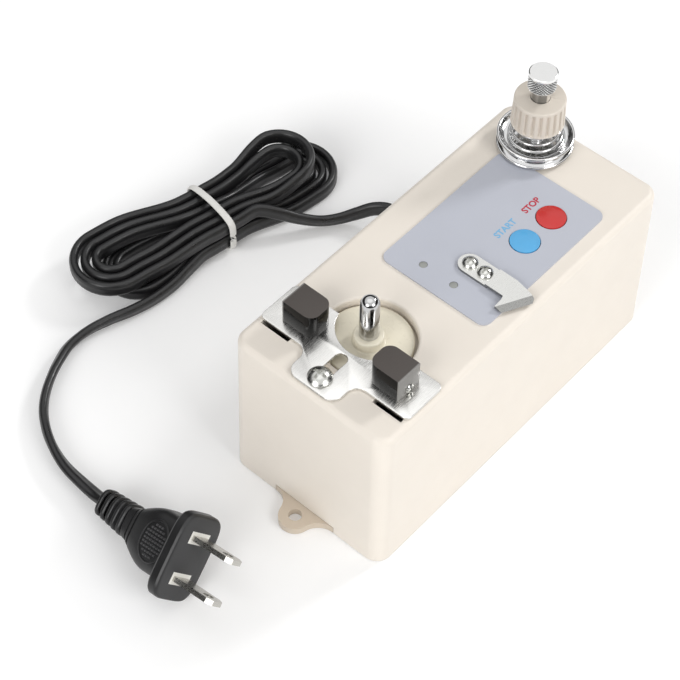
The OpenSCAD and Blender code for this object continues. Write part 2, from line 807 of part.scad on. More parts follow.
module motor_magnets() {
    r = motor_r - can_t - 0.05;
    low = motor_low + motor_l / 2 + 1 - armature_l / 2;
    color("#404040") at_spindle() translate([0, 0, low]) difference() {
        cylinder(r = r, h = armature_l);
        translate([0, 0, -cut]) cylinder(r = armature_r + 0.5, h = armature_l + 2 * cut);
        translate([-2.5, -r - 1, -cut]) cube([5, 2 * r + 2, armature_l + 2 * cut]);
    }
}

module motor_end_cap() {
    color("#2c2c2c") at_spindle() difference() {
        union() {
            translate([0, 0, motor_low - cap_h]) cylinder(r = motor_r, h = cap_h);
            translate([0, 0, motor_low - cut]) cylinder(r = motor_r - can_t - screw_gap, h = 2 * cut);
        }
        translate([0, 0, motor_low - cap_h + 1]) cylinder(r = bush_r, h = cap_h + 1);
    }
}

module motor_bushes() {
    color("#b08d57") at_spindle() for (z = [motor_low - cap_h + 1, bracket_top - bush_h])
        translate([0, 0, z]) difference() {
            cylinder(r = bush_r, h = bush_h);
            translate([0, 0, -cut]) cylinder(r = shaft_d / 2 + run_gap, h = bush_h + 2 * cut);
        }
}

module motor_bracket() {
    back = bracket_back + boss_r;
    front = bracket_boss.y + boss_r;
    w = 2 * (bracket_boss.x + boss_r);
    color("#b5b5b5") difference() {
        translate([0, spindle_y + (back - front) / 2, bracket_low]) linear_extrude(bracket_t)
            rounded(w, back + front, boss_r);
        at_spindle() cylinder(r = nose_r + screw_gap, h = body_h);
        at_spindle() for (x = [-1, 1]) translate([x * motor_screw_x, 0, 0])
            cylinder(d = motor_screw_d + 2 * screw_gap, h = body_h);
        at_bracket_bosses() cylinder(d = plate_screw_d + 2 * screw_gap, h = body_h);
    }
}

module motor_screws() {
    color("silver") at_spindle() for (x = [-1, 1]) translate([x * motor_screw_x, 0, bracket_top])
        pan_screw(4.4, 1.5, motor_screw_d, bracket_t + can_t + 1.2);
}

module bracket_screws() {
    color("silver") at_bracket_bosses() translate([0, 0, bracket_low]) mirror([0, 0, 1])
        pan_screw(5.4, 2, plate_screw_d, bracket_t + 4.5);
}

module tension_post() {
    color("#c8c8c8") at_tension() {
        translate([0, 0, post_low]) cylinder(d = post_d, h = post_top - post_low);
        translate([0, 0, body_h]) cylinder(r = post_flange_r, h = disc_mid - disc_t - body_h);
    }
}

module post_nut() {
    color("silver") at_tension() translate([0, 0, in_top - nut_h]) difference() {
        cylinder(r = post_d * 0.92, h = nut_h, $fn = 6);
        translate([0, 0, -cut]) cylinder(d = post_d + 2 * screw_gap, h = nut_h + 2 * cut);
    }
}

// A saucer: flat in the middle, its rim flared up and rolled
module saucer(rise) {
    steps = 8;
    flare = [for (i = [0:steps]) let (t = i / steps)
        [disc_flat_r + (disc_r - rim_r - disc_flat_r) * t, (rise - 2 * rim_r) * pow(t, 1.7)]];
    rotate_extrude($fn = 96) {
        polygon(concat([[post_d / 2 + screw_gap, 0]], flare,
            [for (i = [steps:-1:0]) flare[i] + [0, disc_t]], [[post_d / 2 + screw_gap, disc_t]]));
        translate([disc_r - rim_r, rise - rim_r]) circle(r = rim_r, $fn = 24);
    }
}

module lower_tension_disc() {
    color("#e0e0e0") at_tension() translate([0, 0, disc_mid]) mirror([0, 0, 1]) saucer(disc_rise);
}

module upper_tension_disc() {
    color("#e0e0e0") at_tension() translate([0, 0, disc_mid + run_gap]) saucer(disc_rise + 0.2);
}

// Points of the tapering coil, and of a round section swept along it
spring_low = disc_mid + run_gap + disc_t + spring_wire / 2 + run_gap;
spring_high = washer_low - spring_wire / 2 - run_gap;
spring_top_r = 5.6;
spring_steps = spring_coils * 8;
function spring_point(i) = let (t = i / spring_steps, a = 360 * spring_coils * t,
    r = spring_r + (spring_top_r - spring_r) * t, s = t * t * (3 - 2 * t))
    [r * cos(a), r * sin(a), spring_low + (spring_high - spring_low) * s];
function spring_ring(i) = let (a = 360 * spring_coils * i / spring_steps, p = spring_point(i))
    [for (k = [0:5]) let (b = 60 * k + 30, d = spring_wire / 2 / cos(30))
        p + [d * sin(b) * cos(a), d * sin(b) * sin(a), d * cos(b) * cos(30)]];

// Joins rings of points into one closed tube
module skin(rings) {
    n = len(rings[0]);
    m = len(rings);
    polyhedron(
        points = [for (r = rings, p = r) p],
        faces = concat(
            [for (k = [1:n - 2]) [0, k + 1, k]],
            [for (i = [0:m - 2], k = [0:n - 1]) let (j = (k + 1) % n)
                [i * n + k, i * n + j, i * n + n + k]],
            [for (i = [0:m - 2], k = [0:n - 1]) let (j = (k + 1) % n)
                [i * n + j, i * n + n + j, i * n + n + k]],
            [for (k = [1:n - 2]) [(m - 1) * n, (m - 1) * n + k, (m - 1) * n + k + 1]]));
}

module tension_spring() {
    color("silver") at_tension() skin([for (i = [0:spring_steps]) spring_ring(i)]);
}

module spring_washer() {
    color("silver") at_tension() translate([0, 0, washer_low]) difference() {
        cylinder(r = washer_r, h = washer_t);
        translate([0, 0, -cut]) cylinder(r = post_d / 2 + run_gap, h = washer_t + 2 * cut);
    }
}

module tension_knob() {
    edge = 0.8;
    tooth = 360 / knob_ribs;
    rib_half = knob_r * sin(tooth * 0.3);
    side = knob_r - knob_lean;
    color("#ded5c9") at_tension() difference() {
        intersection() {
            union() {
                translate([0, 0, knob_low]) linear_extrude(knob_h) {
                    circle(r = knob_r - rib_depth);
                    for (i = [0:knob_ribs - 1]) rotate(i * tooth)
                        translate([0, -rib_half]) square([knob_r, 2 * rib_half]);
                }
                translate([0, 0, knob_low]) cylinder(r = knob_r, h = knob_rim);
            }
            rotate_extrude() polygon([[0, knob_low], [knob_r, knob_low], [side, knob_top - edge],
                [side - edge * 0.3, knob_top - edge * 0.3], [side - edge, knob_top], [0, knob_top]]);
        }
        translate([0, 0, knob_low - cut]) cylinder(r = washer_r + part_gap, h = thread_low - knob_low + cut);
        cylinder(r = post_d / 2 + run_gap, h = 2 * body_h);
        translate([0, 0, thread_top]) cylinder(r = neck_d / 2 + run_gap * 2, h = body_h);
    }
}

module knurled_head() {
    edge = 0.7;
    color("#d4d4d4") at_tension() difference() {
        union() {
            translate([0, 0, neck_low]) cylinder(d = neck_d, h = head_low - neck_low + cut);
            translate([0, 0, head_low]) cylinder(d1 = head_d - 2 * edge, d2 = head_d, h = edge);
            translate([0, 0, head_low + edge]) cylinder(d = head_d, h = head_h - 2 * edge);
            translate([0, 0, head_top - edge]) cylinder(d1 = head_d, d2 = head_d - 2 * edge, h = edge);
        }
        translate([0, 0, neck_low - cut]) cylinder(d = post_d, h = post_top - neck_low + cut);
    }
}

module control_board() {
    color("#2f6b3f") difference() {
        translate([panel_x, panel_y, board_low]) linear_extrude(board_t) rounded(panel_w - 1, panel_l - 1, 1);
        at_board_holes() cylinder(d = board_screw_d + 2 * screw_gap, h = body_h);
    }
}

module board_screws() {
    color("silver") at_board_holes() translate([0, 0, board_low]) mirror([0, 0, 1])
        pan_screw(board_head_d, board_head_h, board_screw_d, board_t + 4);
}

module power_board() {
    color("#2f6b3f") difference() {
        translate([0, power_y, power_low]) linear_extrude(board_t) rounded(power_w, power_l, 1);
        at_power_holes() cylinder(d = board_screw_d + 2 * screw_gap, h = body_h);
    }
}

module power_board_screws() {
    color("silver") at_power_holes() translate([0, 0, power_top])
        pan_screw(board_head_d, board_head_h, board_screw_d, board_t + power_post_h - 0.5);
}

// Laminations round a window that the winding fills
module transformer_core() {
    color("#707070") translate([core_at.x, core_at.y, power_top]) difference() {
        translate([-core.x / 2, -core.y / 2, 0]) cube(core);
        translate([-core.x, -core.y / 2 + core_leg, core_leg])
            cube([2 * core.x, core.y - 2 * core_leg, core.z - 2 * core_leg]);
    }
}

module transformer_winding() {
    w = core.y - 2 * core_leg;
    h = core.z - 2 * core_leg;
    color("#c9a227") translate([core_at.x - core.x / 2 - 1, core_at.y - w / 2, power_top + core_leg])
        cube([core.x + 2, w, h]);
}

module smoothing_capacitor() {
    color("#33406b") translate([capacitor_at.x, capacitor_at.y, power_top]) {
        cylinder(d = capacitor_d, h = capacitor_h - 1);
        cylinder(d = capacitor_d - 2, h = capacitor_h);
    }
}

terminal_x = -power_w / 2 + terminal.x / 2 + terminal_from;
module terminal_block() {
    color("#3f8f5f") translate([terminal_x - terminal.x / 2, relief_y - terminal.y / 2, power_top])
        cube(terminal);
}

// Two conductors run in from the strain relief to the terminal block
wire_from = -half_w + relief_in;
module mains_wires() {
    end = terminal_x - terminal.x / 2;
    color("#202020") for (y = [-1, 1]) translate([wire_from, relief_y + y * wire_pitch / 2, relief_z + 3])
        rotate([0, 90, 0]) cylinder(r = wire_r, h = end - wire_from);
}

// A tapered sleeve with ribs, held in the wall between two flanges
module strain_relief() {
    ribs = 4;
    rib_step = (relief_l - flange_out) / (ribs + 0.6);
    taper = relief_root_r - relief_tip_r;
    color("#1c1c1c") translate([-half_w, relief_y, relief_z]) rotate([0, -90, 0]) {
        translate([0, 0, -relief_neck - 1]) cylinder(r = relief_hole_r, h = relief_neck + 1 + cut);
        translate([0, 0, -relief_in]) cylinder(r = relief_hole_r + 1.2, h = relief_in - relief_neck);
        cylinder(r = relief_root_r + 0.6, h = flange_out);
        cylinder(r1 = relief_root_r - 1, r2 = relief_tip_r - 0.6, h = relief_l);
        for (i = [0:ribs - 1]) translate([0, 0, flange_out + (i + 0.6) * rib_step])
            cylinder(r = relief_root_r - taper * (i + 1) / ribs, h = rib_step * 0.55);
    }
}

function unit(v) = v / norm(v);
// Ring of an oval section at p, across the run t, turned by the given angle
function oval(p, t, turn, sides) = let (s = unit(cross(t, [0, 0, 1])), n = cross(s, t),
    w = s * cos(turn) + n * sin(turn), h = n * cos(turn) - s * sin(turn))
    [for (k = [0:sides - 1]) let (a = 360 * k / sides)
        p + w * (cord_w / 2 * cos(a)) + h * (cord_t / 2 * sin(a))];
function place(q) = [q.x, q.y, q.z];
function run_at(path, i) = let (m = len(path) - 1)
    unit(place(path[min(i + 1, m)]) - place(path[max(i - 1, 0)]));
module cord(path, sides) {
    skin([for (i = [0:len(path) - 1]) oval(place(path[i]), run_at(path, i), path[i][3], sides)]);
}

// Hank: the loops spiral in through the lower layer, climb along one run and spiral out through the upper.
// The turn number counts loops from the waist, where the tail comes in and the lead goes out.
function wave(p) = abs(p - climb_at);
function ease(t) = let (c = min(max(t, 0), 1)) c * c * (3 - 2 * c);
function level(p) = ease((p - climb_at + run_share) / climb_share);
function slide(p) = layer_slide * (0.5 - level(p));
function pinch(u) = 1 - ease((abs(u) - waist_half) / (hank_run - layer_slide / 2 - waist_half - 2));
function run_side(u, r) = r - waist_in * pinch(u);
function lean(u, p) = near_lean * level(p) * ease(-u / hank_run);
function loop_place(p) = let (f = p - round(p), r = fold_r + hank_step * wave(p), lobe = 0.5 - 2 * run_share,
    g = f > 0 ? f - 0.5 : f + 0.5, run = hank_run / run_share)
    abs(f) <= run_share ? let (u = run * f + slide(p)) [u, run_side(u, r)]
    : abs(g) <= run_share ? let (u = slide(p) - run * g) [u, -run_side(u, r)]
    : let (a = 90 - 180 * (abs(f) - run_share) / lobe)
        [sign(f) * (hank_run + r * cos(a)) + slide(p), r * sin(a)];
function hank_z(u, p) = cord_w / 2 + level(p) * (cord_w + layer_gap)
    + waist_lift * (abs(u) < hank_run ? (1 + cos(180 * u / hank_run)) / 2 : 0)
    + fan_lift * ease(2 * u / hank_run - 1) * max(0, p - climb_at) / climb_at;
function to_floor(u, v, z) = [hank_mid.x - u * sin(hank_turn) + v * cos(hank_turn),
    hank_mid.y + u * cos(hank_turn) + v * sin(hank_turn), z, 90];
function hank_point(p) = let (q = loop_place(p)) to_floor(q.x, q.y - lean(q.x, p), hank_z(q.x, p));
function hank_end(p, s) = let (q = loop_place(p)) to_floor(s * cord_w, q.y, hank_z(q.x, p));
hank_path = concat([hank_end(0, -1)], [for (i = [0:loops * loop_rings]) hank_point(i / loop_rings)],
    [hank_end(loops, 1)]);

// Least gap of the hank to itself, on points twice as close as its rings
function reach(e) = sqrt(pow(cord_t / 2 * norm([e.x, e.y]), 2) + pow(cord_w / 2 * e.z, 2));
gap_points = [for (i = [0:2 * loops * loop_rings]) place(hank_point(i / loop_rings / 2))];
hank_gap = min([for (i = [0:len(gap_points) - 1]) for (j = [i + loop_rings:1:len(gap_points) - 1])
    let (d = gap_points[j] - gap_points[i], l = norm(d)) l < 3 * cord_w ? l - 2 * reach(d / l) : cord_w]);
echo(hank_gap = hank_gap);

// Plug frame: blades point along X, the blades' row runs along Y
module at_plug() {
    translate(plug_at) rotate([0, 0, plug_yaw]) rotate([0, -plug_pitch, 0]) rotate([plug_roll, 0, 0])
        children();
}
function turn_x(v, a) = [v.x, v.y * cos(a) - v.z * sin(a), v.y * sin(a) + v.z * cos(a)];
function turn_y(v, a) = [v.x * cos(a) + v.z * sin(a), v.y, v.z * cos(a) - v.x * sin(a)];
function turn_z(v, a) = [v.x * cos(a) - v.y * sin(a), v.x * sin(a) + v.y * cos(a), v.z];
function boot_frame(v) = [-plug_l, 0, 0] + turn_x(turn_z(v, boot_yaw), -plug_roll);
function plug_frame(v) = plug_at + turn_z(turn_y(turn_x(v, plug_roll), -plug_pitch), plug_yaw);
boot_tip = plug_frame(boot_frame([-boot_l, 0, 0]));
boot_run = boot_tip - plug_frame(boot_frame([-boot_l + cord_w, 0, 0]));

relief_tip = [relief_x, relief_y, relief_z, 90];
relief_out = [relief_x - cord_w, relief_y, relief_z, 90];
lead_path = concat([relief_tip, relief_out], lead_points, [hank_end(loops, 2), hank_end(loops, 1)]);
plug_turn = 180 - plug_roll;
tail_path = concat([hank_end(0, -1), hank_end(0, -2)], tail_points,
    [concat(boot_tip + boot_run, plug_turn), concat(boot_tip, plug_turn)]);

module cord_lead() { color("#161616") cord(lead_path, 8); }
module cord_hank() { color("#161616") cord(hank_path, 6); }
module cord_tail() { color("#161616") cord(tail_path, 8); }

// Band round the waist of the hank
module cord_tie() {
    side = cord_t / 2 + part_gap;
    low = -run_side(0, fold_r + hank_step * wave(0.5)) - side;
    high = run_side(0, fold_r + hank_step * wave(0)) + side;
    bottom = waist_lift - part_gap;
    top = waist_lift + 2 * cord_w + layer_gap + part_gap;
    round_r = 2;
    color("white") translate(hank_mid) rotate(hank_turn)
        translate([(low + high) / 2, tie_w / 2, (bottom + top) / 2])
        rotate([90, 0, 0]) linear_extrude(tie_w) difference() {
            rounded(high - low + 2 * tie_t, top - bottom + 2 * tie_t, round_r + tie_t);
            rounded(high - low, top - bottom, round_r);
        }
}

// Flange, waisted grip and ribbed boot in one moulding
module plug_body() {
    color("#1a1a1a") at_plug() difference() {
        union() {
            hull() {
                translate([-flange_t, 0, 0]) rotate([0, 90, 0]) linear_extrude(flange_t - 1)
                    rounded(flange_h, flange_w, 4, $fn = 32);
                translate([-1, 0, 0]) rotate([0, 90, 0]) linear_extrude(1)
                    rounded(flange_h - 1.6, flange_w - 1.6, 3.2, $fn = 32);
            }
            hull() {
                translate([-flange_t - 0.5, 0, 0]) rotate([0, 90, 0]) linear_extrude(1)
                    rounded(flange_h - 5, flange_w - 7.2, 4, $fn = 32);
                translate([-grip_full, 0, 0]) rotate([0, 90, 0]) linear_extrude(1)
                    rounded(11.4, 18.4, 4, $fn = 32);
            }
            hull() {
                translate([-grip_full, 0, 0]) rotate([0, 90, 0]) linear_extrude(1)
                    rounded(11.4, 18.4, 4, $fn = 32);
                translate([-grip_l, 0, 0]) rotate([0, 90, 0]) linear_extrude(1)
                    rounded(10, 12.8, 4, $fn = 32);
            }
            hull() {
                translate([-grip_l, 0, 0]) rotate([0, 90, 0]) linear_extrude(1)
                    rounded(10, 12.8, 4, $fn = 32);
                translate([-plug_l, 0, 0]) rotate([0, 90, 0]) linear_extrude(1)
                    rounded(8.8, 10.6, 3.6, $fn = 32);
            }
            translate([-plug_l, 0, 0])
                rotate([-plug_roll, 0, 0]) rotate([0, 0, boot_yaw]) rotate([plug_roll, 0, 0]) boot();
        }
        for (y = [-1, 1]) translate([-3 - cut, y * blade_pitch / 2, 0]) blade_root(3 + cut);
    }
}

// Ribbed boot, pointing back along the cord from its root
module boot() {
    step = boot_l / boot_ribs;
    rotate([0, -90, 0]) {
        translate([0, 0, -1]) linear_extrude(boot_l + 1) rounded(cord_t + 1.6, cord_w + 1.6, 2.4);
        for (i = [0:boot_ribs - 1]) translate([0, 0, i * step + 0.6]) linear_extrude(step * 0.6)
            rounded(8.6 - 0.3 * i, 10.2 - 0.4 * i, 3.4 - 0.2 * i);
    }
}

insulator = [3.7, 8];
module blade_root(l) {
    translate([0, -insulator.x / 2, -insulator.y / 2]) cube([l + cut, insulator.x, insulator.y]);
}

module plug_insulators() {
    color("white") at_plug() for (y = [-1, 1]) translate([0, y * blade_pitch / 2, 0]) difference() {
        translate([-3, -insulator.x / 2, -insulator.y / 2]) cube([3, insulator.x, insulator.y]);
        translate([-4, -blade_t / 2, -blade_w / 2]) cube([5, blade_t, blade_w]);
    }
}

module plug_blades() {
    tip = 2;
    color("#c8c8c0") at_plug() for (y = [-1, 1]) translate([0, y * blade_pitch / 2 - blade_t / 2, 0])
        rotate([90, 0, 0]) mirror([0, 0, 1]) linear_extrude(blade_t) difference() {
            polygon([[-3, -blade_w / 2], [blade_l - tip, -blade_w / 2], [blade_l, -blade_w / 2 + tip * 0.6],
                [blade_l, blade_w / 2 - tip * 0.6], [blade_l - tip, blade_w / 2], [-3, blade_w / 2]]);
            translate([blade_l - 4, 0]) circle(d = 3.2);
        }
}

housing();
base_plate();
base_screws();
control_panel();
start_button();
stop_button();
push_switches();
power_lamp();
winding_lamp();
thread_cutter();
cutter_screws();
sensor_plate();
plate_screw();
emitter_block();
receiver_block();
emitter_led();
receiver_sensor();
block_screws();
bobbin_seat();
spindle_pin();
motor_rotor();
motor_can();
motor_magnets();
motor_end_cap();
motor_bushes();
motor_bracket();
motor_screws();
bracket_screws();
tension_post();
post_nut();
lower_tension_disc();
upper_tension_disc();
tension_spring();
spring_washer();
tension_knob();
knurled_head();
control_board();
board_screws();
power_board();
power_board_screws();
transformer_core();
transformer_winding();
smoothing_capacitor();
terminal_block();
mains_wires();
strain_relief();
cord_lead();
cord_hank();
cord_tail();
cord_tie();
plug_body();
plug_blades();
plug_insulators();
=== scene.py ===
"""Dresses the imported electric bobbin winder: finishes, and fuller cord, plug, spring and trim."""

import json
import math

import bmesh
import bpy
from mathutils import Matrix, Vector


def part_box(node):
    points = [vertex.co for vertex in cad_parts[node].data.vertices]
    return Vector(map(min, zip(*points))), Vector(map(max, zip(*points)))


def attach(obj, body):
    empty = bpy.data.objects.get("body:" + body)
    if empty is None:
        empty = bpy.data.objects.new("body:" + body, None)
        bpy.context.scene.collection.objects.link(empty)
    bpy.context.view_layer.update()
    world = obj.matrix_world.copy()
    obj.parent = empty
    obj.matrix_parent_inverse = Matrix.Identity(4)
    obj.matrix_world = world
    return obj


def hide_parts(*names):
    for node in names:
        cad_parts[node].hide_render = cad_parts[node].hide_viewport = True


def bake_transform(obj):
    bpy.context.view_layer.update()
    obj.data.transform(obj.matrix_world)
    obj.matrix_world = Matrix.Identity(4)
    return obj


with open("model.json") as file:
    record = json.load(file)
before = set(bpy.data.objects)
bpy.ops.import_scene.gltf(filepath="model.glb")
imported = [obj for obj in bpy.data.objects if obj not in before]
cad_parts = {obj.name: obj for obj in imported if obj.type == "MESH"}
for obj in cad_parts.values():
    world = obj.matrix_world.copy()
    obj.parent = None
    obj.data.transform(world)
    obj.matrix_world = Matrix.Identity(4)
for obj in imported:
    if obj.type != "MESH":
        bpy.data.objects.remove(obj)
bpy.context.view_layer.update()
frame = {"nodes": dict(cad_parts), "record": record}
nodes = frame["nodes"]
scene = bpy.context.scene
scene.view_settings.view_transform = "Standard"

MM = 0.001


def mm(*values):
    """A point written in millimetres, in the frame's metres."""
    return Vector(values) * MM


def extent(node):
    """Lowest and highest corner of a solid, in millimetres."""
    low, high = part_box(node)
    return Vector(low) / MM, Vector(high) / MM


# Camera

CAMERA_AT = mm(215.88, -301.84, 490.93)
CAMERA_AZIMUTH, CAMERA_ELEVATION, CAMERA_ROLL = 40.53, 51.85, -1.18
SENSOR_WIDTH = 36.0
FOCAL_PIXELS, FRAME_PIXELS = 1976.2, 680
CLIP_NEAR, CLIP_FAR = 0.01, 20


def photo_camera():
    """The camera that was fitted to the photograph, with its slight roll."""
    az, el, roll = (math.radians(a) for a in (CAMERA_AZIMUTH, CAMERA_ELEVATION, CAMERA_ROLL))
    back = Vector((math.sin(az) * math.cos(el), -math.cos(az) * math.cos(el), math.sin(el)))
    right = (-back).cross(Vector((0, 0, 1))).normalized()
    down = (-back).cross(right)
    side = math.cos(roll) * right + math.sin(roll) * down
    under = math.cos(roll) * down - math.sin(roll) * right
    data = bpy.data.cameras.new("photo_camera")
    data.sensor_width = SENSOR_WIDTH
    data.lens = FOCAL_PIXELS / FRAME_PIXELS * SENSOR_WIDTH
    data.clip_start, data.clip_end = CLIP_NEAR, CLIP_FAR
    camera = bpy.data.objects.new("photo_camera", data)
    camera.matrix_world = Matrix((side, -under, back)).transposed().to_4x4()
    camera.location = CAMERA_AT
    scene.collection.objects.link(camera)
    scene.camera = camera


# Finishes


def linear(r, g, b):
    """A screen colour from 0 to 255, as the linear colour that a shader takes."""
    def channel(c):
        c /= 255
        return c / 12.92 if c <= 0.04045 else ((c + 0.055) / 1.055) ** 2.4
    return (channel(r), channel(g), channel(b), 1)


class Shading:
    """A tree of shader nodes, with short ways to add to it."""

    def __init__(self, tree):
        self.tree = tree

    def put(self, value, socket):
        """Links an input to another node's socket, or sets it to a plain value."""
        if isinstance(value, bpy.types.NodeSocket):
            self.tree.links.new(value, socket)
        else:
            socket.default_value = value

    def node(self, kind, **inputs):
        """Adds a node; an underscore in an input's name stands for a space."""
        made = self.tree.nodes.new(kind)
        for name, value in inputs.items():
            self.put(value, made.inputs[name.replace("_", " ")])
        return made

    def reckon(self, kind, operation, *values):
        """The number that a node for arithmetic on numbers or vectors gives."""
        made = self.tree.nodes.new(kind)
        made.operation = operation
        for value, socket in zip(values, made.inputs):
            self.put(value, socket)
        return made.outputs["Value"]

    def both(self, one, other):
        """The product of two masks."""
        return self.reckon("ShaderNodeMath", "MULTIPLY", one, other)

    def spread(self, value, low, high, start=0.3, end=0.7):
        """Runs from low to high while the value runs from start to end."""
        made = self.node("ShaderNodeMapRange", Value=value, From_Min=start, From_Max=end,
                         To_Min=low, To_Max=high)
        return made.outputs["Result"]

    def seen(self):
        """1 where the lens or a reflection looks, 0 for the light that falls on things."""
        rays = self.node("ShaderNodeLightPath").outputs
        return self.reckon("ShaderNodeMath", "MAXIMUM", rays["Is Camera Ray"], rays["Is Glossy Ray"])


class Finish(Shading):
    """A material on one Principled shader, with its patterns read from the piece's own coordinates."""

    def __init__(self, name, roughness, metallic=0.0, **sockets):
        self.material = bpy.data.materials.new(name)
        self.material.use_nodes = True
        super().__init__(self.material.node_tree)
        self.shader = self.tree.nodes["Principled BSDF"]
        for socket, value in dict(Roughness=roughness, Metallic=metallic, **sockets).items():
            self.shader.inputs[socket.replace("_", " ")].default_value = value
        self.place = self.node("ShaderNodeTexCoord").outputs["Object"]

    def noise(self, size, detail=3.0, stretch=(1, 1, 1)):
        """Noise with features about size metres wide, drawn out along the axes by stretch."""
        at = self.place
        if stretch != (1, 1, 1):
            squeeze = tuple(1 / s for s in stretch)
            at = self.node("ShaderNodeMapping", Vector=at, Scale=squeeze).outputs["Vector"]
        return self.node("ShaderNodeTexNoise", Vector=at, Scale=1 / size, Detail=detail).outputs["Fac"]

    def mixed(self, factor, low, high):
        """Makes the base colour run from low to high with a factor from 0 to 1."""
        made = self.tree.nodes.new("ShaderNodeMix")
        made.data_type = "RGBA"
        for name, value in (("Factor", factor), ("A", low), ("B", high)):
            self.put(value, made.inputs[name])
        self.put(made.outputs["Result"], self.shader.inputs["Base Color"])

    def colour(self, value, low, high, start=0.3, end=0.7):
        """Base colour that runs from low to high with the pattern's value."""
        self.mixed(self.spread(value, 0, 1, start, end), low, high)

    def layer(self, mask, colour):
        """Another colour over the base, where the mask is 1."""
        base = self.shader.inputs["Base Color"].links[0].from_socket
        self.mixed(mask, base, colour)

    def facing(self, way, start=0.75, end=0.95):
        """1 where the surface faces the given way, falling to 0 as it turns from it."""
        normal = self.node("ShaderNodeNewGeometry").outputs["Normal"]
        toward = self.reckon("ShaderNodeVectorMath", "DOT_PRODUCT", normal, way)
        return self.spread(toward, 0, 1, start, end)

    def on_axis(self, axis):
        """The place along one axis."""
        return self.node("ShaderNodeSeparateXYZ", Vector=self.place).outputs[axis]

    def along(self, axis, start, end):
        """Runs from 0 to 1 between two places on an axis."""
        return self.spread(self.on_axis(axis), 0, 1, start, end)

    def beyond(self, axis, start, end):
        """1 past a place on an axis, on both sides of the object's middle."""
        out = self.reckon("ShaderNodeMath", "ABSOLUTE", self.on_axis(axis))
        return self.spread(out, 0, 1, start, end)

    def from_axis(self, x, y):
        """Distance from an upright axis."""
        flat = self.node("ShaderNodeMapping", Vector=self.place, Location=(-x, -y, 0), Scale=(1, 1, 0))
        return self.reckon("ShaderNodeVectorMath", "LENGTH", flat.outputs["Vector"])

    def rough(self, value, low, high, start=0.3, end=0.7):
        """Roughness that runs from low to high with a value."""
        self.put(self.spread(value, low, high, start, end), self.shader.inputs["Roughness"])

    def bump(self, value, depth, strength=1.0):
        """Fine relief of a depth in metres."""
        made = self.node("ShaderNodeBump", Height=value, Strength=strength, Distance=depth)
        self.put(made.outputs["Normal"], self.shader.inputs["Normal"])


def shade(colour, factor):
    """A colour made darker or brighter."""
    return tuple(c * factor for c in colour[:3]) + (1,)


def moulded(name, colour, roughness=0.42, grain=0.5 * MM, depth=0.012 * MM, mottle=0.014):
    """Moulded plastic: a fine spark-eroded grain, slightly uneven gloss and faint flow mottling."""
    finish = Finish(name, roughness)
    finish.colour(finish.noise(14 * MM), shade(colour, 1 - mottle), shade(colour, 1 + mottle * 0.6))
    finish.rough(finish.noise(3 * MM), roughness - 0.05, roughness + 0.06)
    finish.bump(finish.noise(grain, detail=4), depth)
    return finish.material


def glossy(name, colour, roughness=0.2, mottle=0.04, coat=0.3):
    """Polished plastic with a clear skin and very faint ripple."""
    finish = Finish(name, roughness, Coat_Weight=coat, Coat_Roughness=0.12)
    finish.colour(finish.noise(6 * MM), shade(colour, 1 - mottle), shade(colour, 1 + mottle))
    finish.rough(finish.noise(2 * MM), roughness - 0.04, roughness + 0.08)
    finish.bump(finish.noise(5 * MM), 0.02 * MM, strength=0.4)
    return finish.material


def brushed(name, colour, roughness, stretch, line=0.12 * MM, depth=0.003 * MM):
    """Metal with fine lines drawn out along one way and a little dulling between them."""
    finish = Finish(name, roughness, metallic=1.0)
    lines = finish.noise(line, detail=5, stretch=stretch)
    finish.colour(lines, shade(colour, 0.88), colour)
    finish.rough(lines, roughness - 0.06, roughness + 0.1)
    finish.bump(lines, depth, strength=0.5)
    return finish.material


def plated(name, colour, roughness=0.1, smudge=0.12):
    """Bright plating: clear reflections with soft smudges and pin-sized dulling."""
    finish = Finish(name, roughness, metallic=1.0)
    finish.colour(finish.noise(4 * MM), shade(colour, 0.93), colour)
    finish.rough(finish.noise(2.5 * MM, detail=5), roughness * 0.6, roughness + smudge)
    finish.bump(finish.noise(0.8 * MM), 0.002 * MM, strength=0.4)
    return finish.material


def vinyl(name, colour, roughness=0.34):
    """Soft flexible cord vinyl: dark, with a dull bloom and fine ripples."""
    finish = Finish(name, roughness)
    finish.colour(finish.noise(9 * MM), shade(colour, 0.8), shade(colour, 1.4))
    finish.rough(finish.noise(5 * MM), roughness - 0.08, roughness + 0.1)
    finish.bump(finish.noise(0.7 * MM, detail=4), 0.01 * MM, strength=0.6)
    return finish.material


# Where the painted reflection on each block's outer end begins and where it is full
PAINTED_SHEEN_FROM, PAINTED_SHEEN_FULL = 20.7 * MM, 21.0 * MM


def smoked_block(name, polished=0.12, matt=0.5):
    """Dark smoked plastic: matt on top, polished at the sides; the top is painted paler, partly its own
    smoked tone and partly painted sheen, and the outer end is painted pale as a painted reflection.
    """
    finish = Finish(name, polished, Specular_IOR_Level=0.14)
    finish.colour(finish.noise(5 * MM), linear(10, 10, 10), linear(18, 17, 17))
    top = finish.facing((0, 0, 1))
    # Paler top: partly the plastic's own smoked tone, partly painted sheen
    finish.layer(top, linear(85, 80, 77))
    # Painted reflection: the outer end of each block painted pale grey
    finish.layer(finish.beyond("X", PAINTED_SHEEN_FROM, PAINTED_SHEEN_FULL), linear(138, 136, 133))
    finish.rough(top, polished, matt, 0, 1)
    finish.bump(finish.noise(0.4 * MM, detail=4), 0.004 * MM, strength=0.5)
    return finish.material


def edge_shaded_steel(name, colour, bevel):
    """Sheet steel whose ground edge and sides are painted darker than the flat top, as painted shade."""
    finish = Finish(name, 0.3, metallic=1.0)
    lines = finish.noise(0.12 * MM, detail=5, stretch=(1, 20, 1))
    # Painted shade: every face but the flat top keeps the darker edge colour
    finish.colour(lines, bevel, shade(bevel, 1.15))
    finish.layer(finish.facing((0, 0, 1), 0.94, 0.98), colour)
    finish.rough(lines, 0.22, 0.4)
    finish.bump(lines, 0.002 * MM, strength=0.5)
    return finish.material


